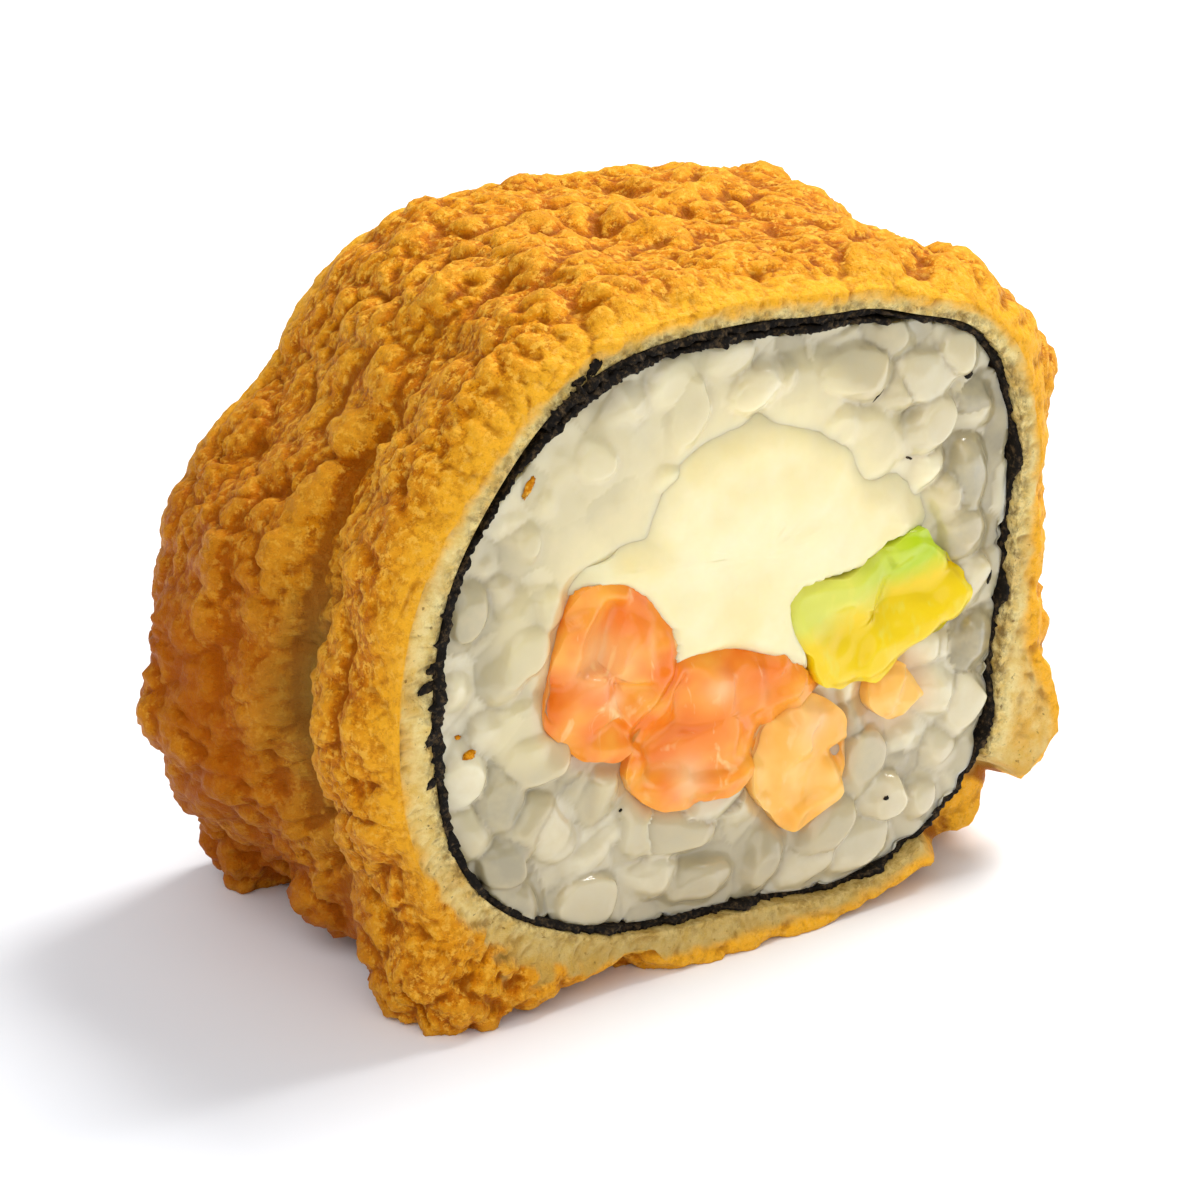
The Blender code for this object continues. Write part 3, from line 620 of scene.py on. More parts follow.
def make_crust(material):
    """The fried coat: the crumb at the front rim, the crust, the back rim and a plain inside."""
    angles = crust_angles()
    starts = coat_start(angles)
    grid, distance, on_rim = crust_grid(angles, starts)
    normals = crust_normals(grid)
    spots = np.stack([np.broadcast_to(angles, distance.shape), distance], axis=-1)
    wobble = at_points(crumb_wobble, spots) * swells(angles, CRUMB_RAGGED, CRUMB_WOBBLE)
    crumb_edge = swells(angles, CRUMB_WIDER, CRUMB_WIDTH) + wobble
    crumb = on_rim * smooth_step(-CRUMB_FADE, CRUMB_FADE, crumb_edge - distance)
    from_cut = np.minimum(grid[..., 1] - starts, HALF - grid[..., 1])
    calm = CALMEST + (1 - CALMEST) * smooth_step(*CALM_NEAR_CUT, from_cut)
    calm = np.maximum(calm, swells(angles, KEEL_ROUGHER))
    crust = at_points(nub_height, grid) * calm
    sponge = at_points(lambda spot: crumb_height(*spot), spots)
    sponge = sponge * smooth_step(0.0, CRUMB_BESIDE_NORI, distance)
    heights = crumb * sponge + (1 - crumb) * crust
    grid = grid + normals * heights[..., None]
    grid[..., 2] = np.maximum(grid[..., 2], FLOOR)
    grid[0] = polar(angles, wrap_radius(angles, starts) + CLOSE, starts)[0]
    ends = np.array([[HALF], [0.0]])
    whole = np.concatenate([grid, polar(angles, wrap_radius(angles, ends) + CLOSE, ends)])
    shares = {
        "crumb": crumb,
        # cavity: how deep each point lies, from which the colour paints shade in hollows and light on ridges
        "cavity": sum(weight * hollowness(grid, normals, reach) for reach, weight in CAVITIES) / MM,
        "near": smooth_step(*NEAR_CUT, from_cut) * (1 - swell(angles, *KEEL_NOT_PALE)),
        # Dark soot specks with painted shade on the crumb beside the nori
        "sooty_and_shaded": on_rim * smooth_step(SOOT_AND_SHADE_WIDTH, 0.0, distance),
        "toasted": smooth_step(*TOASTED, distance),
    }
    inside = np.zeros((2, CRUST_COLUMNS))
    values = {name: np.concatenate([share, inside]) for name, share in shares.items()}
    values["brown"] = brownness(angles, whole[..., 1])
    groove = hump(whole[..., 1] + HALF, THIN_PATCH["behind"], THIN_PATCH["width"])
    values["thin"] = swell(angles, THIN_PATCH["angle"], THIN_PATCH["spread"]) * groove
    faces = grid_faces(len(whole), CRUST_COLUMNS, closed_rows=True)
    return piece("crust", whole.reshape(-1, 3), faces, material, values, "coat")


def brownness(angle, y):
    """The crust is darker low down on the left and towards the back."""
    behind = (y + HALF) / LENGTH
    shares = []
    for centre, spread, least, most, start, full in BROWNER:
        share = least + (most - least) * smooth_step(start, full, behind)
        shares.append(swell(angle, centre, spread) * share)
    return np.max(shares, axis=0)


# The nori


def overhang(angle):
    """How far the rice laps over the nori's edge at the cut."""
    reach = swells(angle, OVERHANG)
    for centre, spread in NOTCHES:
        reach = reach * (1 - swell(angle, centre, spread))
    return reach


def make_nori(material):
    """The nori sheet, wound once round with its lap, with torn and matted edges at the cuts."""
    turns = np.linspace(NORI_START, NORI_END, NORI_COLUMNS)
    inside = [(end, 1.0) for end in NORI_PLACES]
    outside = [(end, 0.0) for end in reversed(NORI_PLACES)]
    profile = [(-1.0, 0.5), *inside, (1.0, 0.5), *outside]
    profile = profile[-1:] + profile[:-1]
    hidden = overhang(turns)
    rows = []
    for end, depth in profile:
        side = math.copysign(1.0, end)
        at_edge = smooth_step(*NORI_EDGE, abs(end))
        spots = np.stack([turns, np.full(NORI_COLUMNS, side), turns * 0 + depth], axis=-1)
        torn = at_points(torn_edge, spots) - hidden
        y = end * HALF + side * torn * at_edge
        matted = at_points(matted_edge, spots) * at_edge * (1 - 2 * depth)
        radius = wrap_radius(turns, y) - nori_depth(turns) - NORI_THICKNESS * depth + matted
        rows.append(polar(turns, radius, y))
    faces = grid_faces(len(profile), NORI_COLUMNS, closed_rows=True, closed_columns=False)
    faces.append([row * NORI_COLUMNS for row in range(len(profile))])
    faces.append([(row + 1) * NORI_COLUMNS - 1 for row in range(len(profile))][::-1])
    return piece("nori_sheet", np.array(rows).reshape(-1, 3), faces, material, {}, "nori")


def torn_edge(spot):
    """How far the sheet's edge stands out of the cut, by how far round it is, the side and the depth."""
    place = Vector([along * scale for along, scale in zip(spot, TEAR_SCALE)])
    torn = sum(height * noise.noise(place * fineness) for fineness, height in TEARS)
    return (torn + swells(spot.x, TUFTS) + TEAR_PROUD) * MM


def matted_edge(spot):
    """How far the frayed fibres of the sheet's edge reach out: thin at the right, with little teeth, more of
    them at the left and where the lap ends."""

    def wave(layer):
        fineness, pattern, _ = layer
        return noise.noise(Vector((spot.x * fineness, spot.y, pattern + spot.z * FRAY_LAYERS)))

    tooth = max(0.0, wave(FRAY_TEETH) - TOOTH_START)
    teeth = TEETH_LEAST + (1 - spot.z) * swells(spot.x, TEETH)
    frayed = FRAY_SLOW[2] * wave(FRAY_SLOW) + FRAY_QUICK[2] * wave(FRAY_QUICK) + FRAY_TEETH[2] * teeth * tooth
    return (frayed - swells(spot.x, THINNER)) * MM


# The filling


def smooth_outline(corners, steps):
    """A closed curve through the corners, given in millimetres."""
    corners = [Vector(corner) * MM for corner in corners]
    count = len(corners)
    curve = []
    for index in range(count):
        before, start, end, after = (corners[(index + step) % count] for step in (-1, 0, 1, 2))
        for step in range(steps):
            t = step / steps
            bend = (2 * before - 5 * start + 4 * end - after) * t**2
            turn = (3 * start - before - 3 * end + after) * t**3
            curve.append((2 * start + (end - before) * t + bend + turn) / 2)
    return curve


def drift_at(strip, side):
    """How far a strip has wandered at the front cut (side -1) or the back cut (side 1)."""
    return Vector(strip.drift) * MM * (side + 1) / 2


def wandered_outline(node, side):
    """A strip's outline on one cut."""
    strip = STRIPS[node]
    outline = smooth_outline(strip.outline, CLEARANCE_STEPS)
    return np.array([point + drift_at(strip, side) for point in outline])


def outline_distance(spots, outline):
    """How far each spot on the cut is outside a closed outline, negative inside, some at a time. Both are
    arrays of (x, z)."""
    start = outline[None]
    along = np.roll(start, -1, axis=1) - start
    rise = np.where(np.abs(along[..., 1]) > TINY, along[..., 1], TINY)
    found = []
    for first in range(0, len(spots), SPOTS_AT_ONCE):
        some = spots[first:first + SPOTS_AT_ONCE, None]
        share = np.clip(((some - start) * along).sum(2) / np.maximum((along**2).sum(2), TINY), 0, 1)
        nearest = np.linalg.norm(some - start - share[..., None] * along, axis=2).min(axis=1)
        crosses = (start[..., 1] > some[..., 1]) != (start[..., 1] + along[..., 1] > some[..., 1])
        left = some[..., 0] < start[..., 0] + (some[..., 1] - start[..., 1]) * along[..., 0] / rise
        found.append(np.where((crosses & left).sum(axis=1) % 2 == 1, -nearest, nearest))
    return np.concatenate(found)


def strip_rows():
    """The rows of a strip's points, from the middle of the front end to that of the back end, each as how far
    out it lies, its side and how deep it lies behind the cut."""
    shares = np.sin(np.linspace(*CAP_SHARES, CAP_RINGS) * np.pi / 2)
    front = [(share, -1, 0.0) for share in shares] + [(1.0, -1, depth) for depth in WALL_DEPTHS]
    return front + [(share, 1, depth) for share, _, depth in reversed(front)]


def make_strip(name, node, material, in_front):
    """A strip of filling from cut to cut, with uneven ends, which are pressed back where they pass behind the
    strips in front."""
    strip = STRIPS[node]
    outline = smooth_outline(strip.outline, OUTLINE_STEPS)
    middle = Vector(strip.middle) * MM
    rows = strip_rows()
    points = []
    for share, side, depth in rows:
        for point in outline:
            wobble = ripples(Vector((point.x, side * WOBBLE_APART, point.y)), STRIP_WOBBLE) * MM
            spot = middle + (point - middle) * share + drift_at(strip, side)
            spot += (point - middle).normalized() * (wobble + strip.grows * MM) * share
            points.append([spot.x, side * (HALF - depth), spot.y])
    points = np.array(points)
    _, sides, depths = np.repeat(rows, len(outline), axis=0).T
    spots = points[:, [0, 2]]
    distance = np.zeros(len(points))
    for side in (-1, 1):
        of_side = sides == side
        distance[of_side] = -outline_distance(spots[of_side], wandered_outline(node, side))
        for other in in_front:
            over = -outline_distance(spots[of_side], wandered_outline(other, side))
            points[of_side, 1] -= side * TUCKED * smooth_step(*TUCK_EDGE, over)
    for index in np.nonzero(depths < ROUNDED_DEPTH)[0]:
        height = -strip.drops * MM * smooth_step(strip.bevel * MM, -strip.grows * MM, distance[index])
        if depths[index] == 0.0:
            point = Vector((points[index, 0], sides[index] * RELIEF_APART, points[index, 2]))
            height += min(strip_relief(point, strip.relief), MOST_PROUD)
        points[index, 1] += sides[index] * height
    faces = grid_faces(len(rows), len(outline))
    faces.append(list(range(len(outline)))[::-1])
    faces.append(list(range(len(points) - len(outline), len(points))))
    values = {
        "edge": np.clip(distance / MM, *EDGE_RANGE),
        "pale": spot_share(spots, SALMON_PALE),
        "dark": spot_share(spots, SALMON_DEEP),
    }
    return piece(name, points, faces, material, values, node)


def spot_share(places, marks):
    """1 at the marks, given as (x, z) and reach in millimetres, and falling off round them."""
    share = np.zeros(len(places))
    for (x, z), reach in marks:
        share = np.maximum(share, hump(np.hypot(places[:, 0] / MM - x, places[:, 1] / MM - z), 0.0, reach))
    return share


def strip_relief(point, relief):
    """A surface of tilted facets with rounded edges and finer noise."""
    size = relief.size * MM
    place = point / size
    distances, centres = noise.voronoi(place)
    weights = [math.exp((distances[0] - distance) / relief.softness) for distance in distances]
    heights = [(place - centre).dot(noise.noise_vector(centre * FACET_PATTERN)) for centre in centres]
    facet = sum(weight * height for weight, height in zip(weights, heights)) / sum(weights)
    return size * relief.slope * facet + (ripples(point, relief.ripples) + relief.lift) * MM


def make_filling():
    """The strips of filling: the cheese behind all others, the cucumber in front of all others."""
    salmon = salmon_looks("salmon", "deep salmon", "salmon", 0.7)
    peach = salmon_looks("salmon_pale", "peach", "pale peach", 0.5)
    looks = dict.fromkeys(("salmon_left", "salmon_middle"), salmon)
    looks |= dict.fromkeys(("salmon_right", "salmon_small"), peach)
    looks |= {"cream_cheese": cheese_looks(), "cucumber": cucumber_looks()}
    *strips, cheese = STRIPS
    make_strip("cheese", cheese, looks[cheese], strips)
    for number, node in enumerate(strips):
        make_strip(node + "_strip", node, looks[node], strips[:number])


# The rice


def smear_share(x, z):
    """1 where the knife smeared the rice smooth, 0 where its grains stand clear."""
    share = 0.0
    start, end = SMEAR_EDGE
    for (centre_x, centre_z), reach in SMEARS:
        away = np.hypot(x / MM - centre_x, z / MM - centre_z)
        share = np.maximum(share, 1 - smooth_step(reach * start, reach * end, away))
    return share


def grain_points():
    """A plump grain along Z with its middle at zero, one unit wide and long."""
    rings, sides = GRAIN_RINGS, GRAIN_SIDES
    points = [Vector((0, 0, 0.5))]
    for ring in range(1, rings):
        height = math.cos(math.pi * ring / rings)
        width = math.sin(math.pi * ring / rings) ** GRAIN_PLUMPNESS
        for side in range(sides):
            turn = 2 * math.pi * side / sides
            points.append(Vector((width * math.cos(turn), width * math.sin(turn), height)) / 2)
    points.append(Vector((0, 0, -0.5)))
    faces = [(0, 1 + side, 1 + (side + 1) % sides) for side in range(sides)]
    for ring in range(rings - 2):
        first = 1 + ring * sides
        for side in range(sides):
            beside = (side + 1) % sides
            faces.append((first + side, first + sides + side, first + sides + beside, first + beside))
    last = len(points) - 1
    faces += [(last, last - sides + (side + 1) % sides, last - sides + side) for side in range(sides)]
    return points, faces


def scatter_grains(side, draw):
    """Where the grains lie at one cut, as centre, pointing, width and length. They keep apart from each
    other, and clear of the nori and the filling."""
    y = side * HALF
    outlines = [wandered_outline(name, side) for name in STRIPS]
    found = []

    def add(spot, flat, tilt, width, length, level):
        centre = Vector((spot[0], side * level, spot[1]))
        pointing = Vector((flat[0], side * math.sin(tilt), flat[1]))
        found.append((centre, pointing, width, length))

    first_spots = []
    for spot, length, width, heading, proud in CLEAR_GRAINS if side < 0 else ():
        heading = math.radians(heading)
        first_spots.append(Vector(spot) * MM)
        level = HALF + (proud - width / 2) * MM
        add(first_spots[-1], (math.cos(heading), math.sin(heading)), 0.0, width * MM, length * MM, level)
    for deeper in GRAIN_LAYERS:
        places = draw.uniform(-1, 1, (GRAIN_TRIES, 2)) * (WRAP_HALF_WIDTH, WRAP_HALF_HEIGHT)
        widths = draw.uniform(*GRAIN_WIDTH, GRAIN_TRIES)
        lengths = draw.uniform(*GRAIN_LENGTH, GRAIN_TRIES)
        tilts = np.radians(draw.uniform(0.0, GRAIN_TILT, GRAIN_TRIES))
        angles, to_wall = wall_distance(places, y)
        beside = np.radians(angles + 90.0 + draw.uniform(-GRAIN_SWING, GRAIN_SWING, GRAIN_TRIES))
        headings = np.where(to_wall < widths, beside, draw.uniform(0.0, np.pi, GRAIN_TRIES))
        proud = draw.uniform(*GRAIN_PROUD, GRAIN_TRIES)
        flat = np.stack([np.cos(headings), np.sin(headings)], axis=1) * np.cos(tilts)[:, None]
        half_run = flat * ((lengths - widths) / 2)[:, None]
        clear = np.full(GRAIN_TRIES, 1.0)
        for spots in (places - half_run, places, places + half_run):
            clear = np.minimum(clear, wall_distance(spots, y)[1] - widths * CLEAR_OF_NORI)
            for outline in outlines:
                clear = np.minimum(clear, outline_distance(spots, outline) - widths * CLEAR_OF_FILLING)
        placed = list(first_spots)
        for index in np.nonzero(clear > 0)[0]:
            spot = Vector(places[index])
            if any((spot - other).length < GRAIN_SPACING for other in placed):
                continue
            placed.append(spot)
            width, length = widths[index], lengths[index]
            reach = width / 2 + (length - width) / 2 * math.sin(tilts[index])
            add(spot, flat[index], tilts[index], width, length, HALF - reach - deeper + proud[index])
    return found


def wall_distance(spots, y):
    """The angles of spots on a cut, and how far inside the wall of nori they lie."""
    angles = np.degrees(np.arctan2(spots[:, 1], spots[:, 0]))
    return angles, rice_wall(angles, y) - np.linalg.norm(spots, axis=1)


def rice_bed(side):
    """The bed behind the grains at one cut, as a closed block with a hollow for the filling."""
    y = side * HALF
    angles = (np.arange(BED_COLUMNS) * 360.0 / BED_COLUMNS)[None]
    shares = ((np.arange(BED_RINGS) + BED_MIDDLE) / (BED_RINGS - 1 + BED_MIDDLE))[:, None]
    flat = polar(angles, (rice_wall(angles, y) + overhang(angles)) * shares, 0.0)
    spots = flat[..., [0, 2]].reshape(-1, 2)
    clear = np.min([outline_distance(spots, wandered_outline(name, side)) for name in STRIPS], axis=0)
    smear = smear_share(spots[:, 0], spots[:, 1])
    near_wall = smooth_step(*BED_WALL, shares * np.ones_like(angles)).ravel()
    raised, more_raised = BED_WALL_SHARE
    recess = BED_RECESS - (BED_RECESS - BED_SMEARED_RECESS) * smear
    recess = recess * (1 - (raised + more_raised * smear) * near_wall)
    recess = recess + BED_HOLLOW * (1 - smooth_step(*BED_HOLLOW_EDGE, clear))
    size, height = BED_WAVES
    uneven = at_points(lambda point: height * noise.noise(point / size), flat + (0, y, 0)).ravel()
    flat = flat.reshape(-1, 3)
    flat[:, 1] = side * (HALF - recess + uneven * (1 - BED_SMEARED_CALM * smear))
    inner_y = side * (HALF - RICE_DEPTH)
    back = polar(angles, rice_wall(angles, inner_y), inner_y)[0]
    faces = grid_faces(BED_RINGS + 1, BED_COLUMNS)
    faces.append(tuple(range(BED_COLUMNS))[::-1])
    faces.append(tuple(range(BED_RINGS * BED_COLUMNS, (BED_RINGS + 1) * BED_COLUMNS)))
    return np.concatenate([flat, back]), faces


def pressed_grains(side, draw):
    """The bed and the grains on it as overlapping closed shapes, and three points along each grain."""
    bed, faces = rice_bed(side)
    points = [Vector(point) for point in bed]
    grain, grain_faces = grain_points()
    axes = []
    size, lumps = GRAIN_LUMPS
    for centre, pointing, width, length in scatter_grains(side, draw):
        turn = pointing.to_track_quat("Z", "Y").to_matrix()
        bow = draw.uniform(-GRAIN_BOW, GRAIN_BOW) * length
        first = len(points)
        for p in grain:
            shaped = Vector((p.x * width + bow * (4 * p.z * p.z - BOW_MIDDLE), p.y * width, p.z * length))
            place = centre + turn @ shaped
            points.append(place + lumps * noise.noise_vector(place / size))
        faces += [tuple(first + index for index in face) for face in grain_faces]
        half = pointing.normalized() * (length - width) / 2
        axes.append((centre - half, centre, centre + half))
    return points, faces, axes


def fused_mesh(name, points, faces):
    """Overlapping closed shapes as one skin of small, even faces."""
    mesh = bpy.data.meshes.new(name)
    mesh.from_pydata(points, [], faces)
    rough = bpy.data.objects.new(name + "_rough", mesh)
    bpy.context.scene.collection.objects.link(rough)
    fuse = rough.modifiers.new("fuse", "REMESH")
    fuse.mode = "VOXEL"
    fuse.voxel_size = RICE_VOXEL
    soften = rough.modifiers.new("soften", "SMOOTH")
    soften.factor, soften.iterations = RICE_SOFTENING
    graph = bpy.context.evaluated_depsgraph_get()
    fused = bpy.data.meshes.new_from_object(rough.evaluated_get(graph))
    bpy.data.objects.remove(rough)
    places = np.zeros(len(fused.vertices) * 3, np.float32)
    fused.vertices.foreach_get("co", places)
    return places.reshape(-1, 3).astype(float), [tuple(polygon.vertices) for polygon in fused.polygons]


def nearest_grains(axes, places):
    """The number of the grain nearest to each place, and how much further away the next one lies."""
    tree = kdtree.KDTree(len(axes) * 3)
    for index, spots in enumerate(axes):
        for spot in spots:
            tree.insert(spot, index)
    tree.balance()
    nearest = np.zeros(len(places), int)
    apart = np.zeros(len(places))
    for index, place in enumerate(places):
        hits = tree.find_n(place, NEAREST_TRIED)
        nearest[index] = hits[0][1]
        others = [distance for _, grain, distance in hits if grain != hits[0][1]]
        apart[index] = (others[0] if others else 1.0) - hits[0][2]
    return nearest, apart


def cut_heights(places, side, plane, smear, crease):
    """How far each place stands out of the cut, once the knife has cut the grains off at their planes."""
    ahead = side * places[:, 1] - HALF
    over = np.maximum(ahead - plane, 0.0)
    reach, height = CUT_ROUNDING
    rounding = height * (1 - np.exp(-over / reach))
    size, height = CUT_WAVES
    waves = height * at_points(lambda point: noise.noise(point / size), places)
    cut = np.where(ahead > plane, plane + rounding, ahead) + waves - GRAIN_CREASE * crease
    return np.minimum(cut, MOST_PROUD)


def make_rice_face(name, side, material, draw):
    """The rice at one cut: grains fused with the bed behind them, each cut off by the knife near the cut."""
    points, faces, axes = pressed_grains(side, draw)
    places, fused_faces = fused_mesh(name, points, faces)
    nearest, apart = nearest_grains(axes, places)
    smear = smear_share(places[:, 0], places[:, 2])
    crease = (1 - smooth_step(0.0, CREASE_WIDTH, apart)) * (1 - smear)
    tints = draw.uniform(0.0, 1.0, len(axes))
    reaches = draw.uniform(*GRAIN_REACH, len(axes))
    planes = draw.uniform(*GRAIN_PLANES, len(axes))
    slopes = draw.uniform(-GRAIN_SLOPE, GRAIN_SLOPE, (len(axes), 2))
    middles = np.array([spots[1] for spots in axes])
    off = (places - middles[nearest])[:, [0, 2]]
    plane = (planes[nearest] + (off * slopes[nearest]).sum(axis=1)) * (1 - SMEAR_FLATTENS * smear)
    cut = cut_heights(places, side, plane, smear, crease)
    spots = places[:, [0, 2]]
    to_cheese = outline_distance(spots, wandered_outline("cream_cheese", side))
    salmons = [node for node in STRIPS if node.startswith("salmon")]
    to_salmon = np.min([outline_distance(spots, wandered_outline(node, side)) for node in salmons], axis=0)
    sloping = smooth_step(*SLOPING, cut)
    for (depth, start, end), away in ((CHEESE_SLOPE, to_cheese), (SALMON_SLOPE, to_salmon)):
        cut = cut - depth * smooth_step(start, end, away) * sloping
    places[:, 1] = side * (HALF + cut)
    angles = np.degrees(np.arctan2(places[:, 2], places[:, 0]))
    radii = np.linalg.norm(spots, axis=1)
    laps = overhang(angles) * smooth_step(*LAPS_OVER, cut) * reaches[nearest]
    limit = rice_wall(angles, places[:, 1]) + laps - CREASE_NOTCH * crease
    places[:, [0, 2]] *= np.minimum(1.0, limit / np.maximum(radii, TINY))[:, None]
    values = {
        "tint": tints[nearest],
        "smear": smear,
        # deep: how far behind the cut, which also paints shade in the recesses
        "deep": np.clip(-cut / MM, 0, DEEPEST),
        "edge": np.clip(-to_cheese / MM, *EDGE_RANGE),
        # crease: also paints shade between the grains
        "crease": crease,
        "stain": smooth_step(STAIN_WIDTH, 0.0, to_salmon),
    }
    return piece(name, places, fused_faces, material, values)


def make_rice(material):
    """Both faces of the rice, and a plain core between them."""
    draw = np.random.default_rng(SEED)
    front = make_rice_face("rice_front", -1, material, draw)
    back = make_rice_face("rice_back", 1, material, draw)
    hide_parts("rice")
    reach = HALF - RICE_DEPTH + CORE_OVERLAP
    angles = (np.arange(CORE_COLUMNS) * 360.0 / CORE_COLUMNS)[None]
    ends = np.array([[-reach], [reach]])
    points = polar(angles, rice_wall(angles, ends), ends).reshape(-1, 3)
    faces = grid_faces(2, CORE_COLUMNS)
    faces += [list(range(CORE_COLUMNS))[::-1], list(range(CORE_COLUMNS, 2 * CORE_COLUMNS))]
    plain = {"tint": np.full(len(points), 0.5), "edge": np.full(len(points), EDGE_RANGE[0])}
    piece("rice_core", points, faces, material, plain, None)
    return front


# Specks


def surface_of(ground):
    """A piece's surface to cast rays at."""
    faces = [polygon.vertices for polygon in ground.data.polygons]
    return bvhtree.BVHTree.FromPolygons([vertex.co for vertex in ground.data.vertices], faces)


def make_specks(grounds, dark, golden):
    """Small dark bits of seaweed and brown crumbs on the front cut, each on the rice or the rim."""
    surfaces = [surface_of(ground) for ground in grounds]
    draw = np.random.default_rng(SEED)
    ball, ball_faces = grain_points()
    for name, material, slot, spots in (
        ("specks", dark, "nori", DARK_SPECKS),
        ("crumbs", golden, "coat", CRUMBS),
    ):
        points = []
        faces = []
        for x, z, long, wide, turn in spots:
            start = Vector((AXIS.x + x * MM, IN_FRONT, AXIS.z + z * MM))
            hits = [surface.ray_cast(start, Vector((0, 1, 0)))[0] for surface in surfaces]
            hits = [hit for hit in hits if hit is not None]
            if not hits:
                continue
            hit = min(hits, key=lambda place: place.y)
            lean = math.radians(turn)
            first = len(points)
            for p in ball:
                rough = 1 + SPECK_ROUGHNESS * draw.uniform(-1, 1)
                along = p.z * long * MM * rough
                across = p.x * wide * MM * rough
                right = along * math.cos(lean) - across * math.sin(lean)
                up = along * math.sin(lean) + across * math.cos(lean)
                points.append(hit - AXIS + Vector((right, p.y * wide * SPECK_FLATNESS * MM, up)))
            faces += [tuple(first + index for index in face) for face in ball_faces]
        piece(name, points, faces, material, {}, None)


# Materials


class Looks:
    """A material's nodes, with short calls for what these foods need."""

    def __init__(self, name, roughness, specular, soft=NOT_SOFT, coat=NO_COAT):
        self.material = bpy.data.materials.new(name)
        self.material.use_nodes = True
        self.tree = self.material.node_tree
        self.shader = self.tree.nodes["Principled BSDF"]
        self.place = self.tree.nodes.new("ShaderNodeTexCoord").outputs["Object"]
        for socket, value in zip(SOCKETS, (roughness, specular, *soft, *coat)):
            self.shader.inputs[socket].default_value = value

    def fill(self, socket, value):
        """Gives a socket what another puts out, a colour by its name, or a plain value."""
        if isinstance(value, bpy.types.NodeSocket):
            self.tree.links.new(value, socket)
        elif isinstance(value, str):
            socket.default_value = (*(linear(channel) for channel in COLOURS[value]), 1.0)
        else:
            socket.default_value = value

    def node(self, kind, *inputs, **named_inputs):
        made = self.tree.nodes.new("ShaderNode" + kind)
        for socket, value in zip(made.inputs, inputs):
            self.fill(socket, value)
        for name, value in named_inputs.items():
            self.fill(made.inputs[name.replace("_", " ")], value)
        return made

    def noise(self, size, detail=3.0, rough=0.55, stretch=None, distortion=0.0):
        """Noise from 0 to 1 whose blotches are this many metres across."""
        place = self.place
        if stretch:
            place = self.node("Mapping", Vector=place, Scale=stretch).outputs["Vector"]
        grain = {"Detail": detail, "Roughness": rough, "Distortion": distortion}
        return self.node("TexNoise", Vector=place, Scale=1 / size, **grain).outputs["Fac"]

    def value(self, name):
        made = self.node("Attribute")
        made.attribute_name = name
        return made.outputs["Fac"]

    def span(self, source, low, high, to_low=0.0, to_high=1.0):
        """The source, rescaled from one range to another and kept inside it."""
        return self.node("MapRange", source, low, high, to_low, to_high).outputs["Result"]

    def blotches(self, size, low, high, most=1.0, least=0.0, **grain):
        """Noise as a share that goes from the least to the most where the noise goes from low to high."""
        return self.span(self.noise(size, **grain), low, high, least, most)

    def along(self, axis):
        """How far along X, Y or Z a place lies. The floor is at zero."""
        return self.node("SeparateXYZ", self.place).outputs[axis]

    def reckon(self, kind, first, second):
        made = self.node("Math", first, second)
        made.operation = kind
        return made.outputs["Value"]

    def marked(self, name, most):
        """A value of the mesh, times the most that it may be."""
        return self.reckon("MULTIPLY", self.value(name), most)

    def layers(self, colour, *rows):
        """A colour with others laid over it, each given as the share that it covers and the colour."""
        for share, over in rows:
            made = self.tree.nodes.new("ShaderNodeMix")
            made.data_type = "RGBA"
            for socket, value in zip((made.inputs[0], made.inputs[6], made.inputs[7]), (share, colour, over)):
                self.fill(socket, value)
            colour = made.outputs[2]
        return colour

    def finish(self, colour, *bumps):
        """The material with this colour, and bumps each given as size, depth, strength and kind of noise."""
        self.fill(self.shader.inputs["Base Color"], colour)
        for size, depth, strength, *grain in bumps:
            made = self.node("Bump", Height=self.noise(size, *grain), Distance=depth, Strength=strength)
            if self.shader.inputs["Normal"].is_linked:
                self.fill(made.inputs["Normal"], self.shader.inputs["Normal"].links[0].from_socket)
            self.fill(self.shader.inputs["Normal"], made.outputs["Normal"])
        return self.material


def linear(channel):
    """An sRGB channel from 0 to 255 as a linear value."""
    share = channel / 255
    return share / 12.92 if share <= 0.04045 else ((share + 0.055) / 1.055) ** 2.4


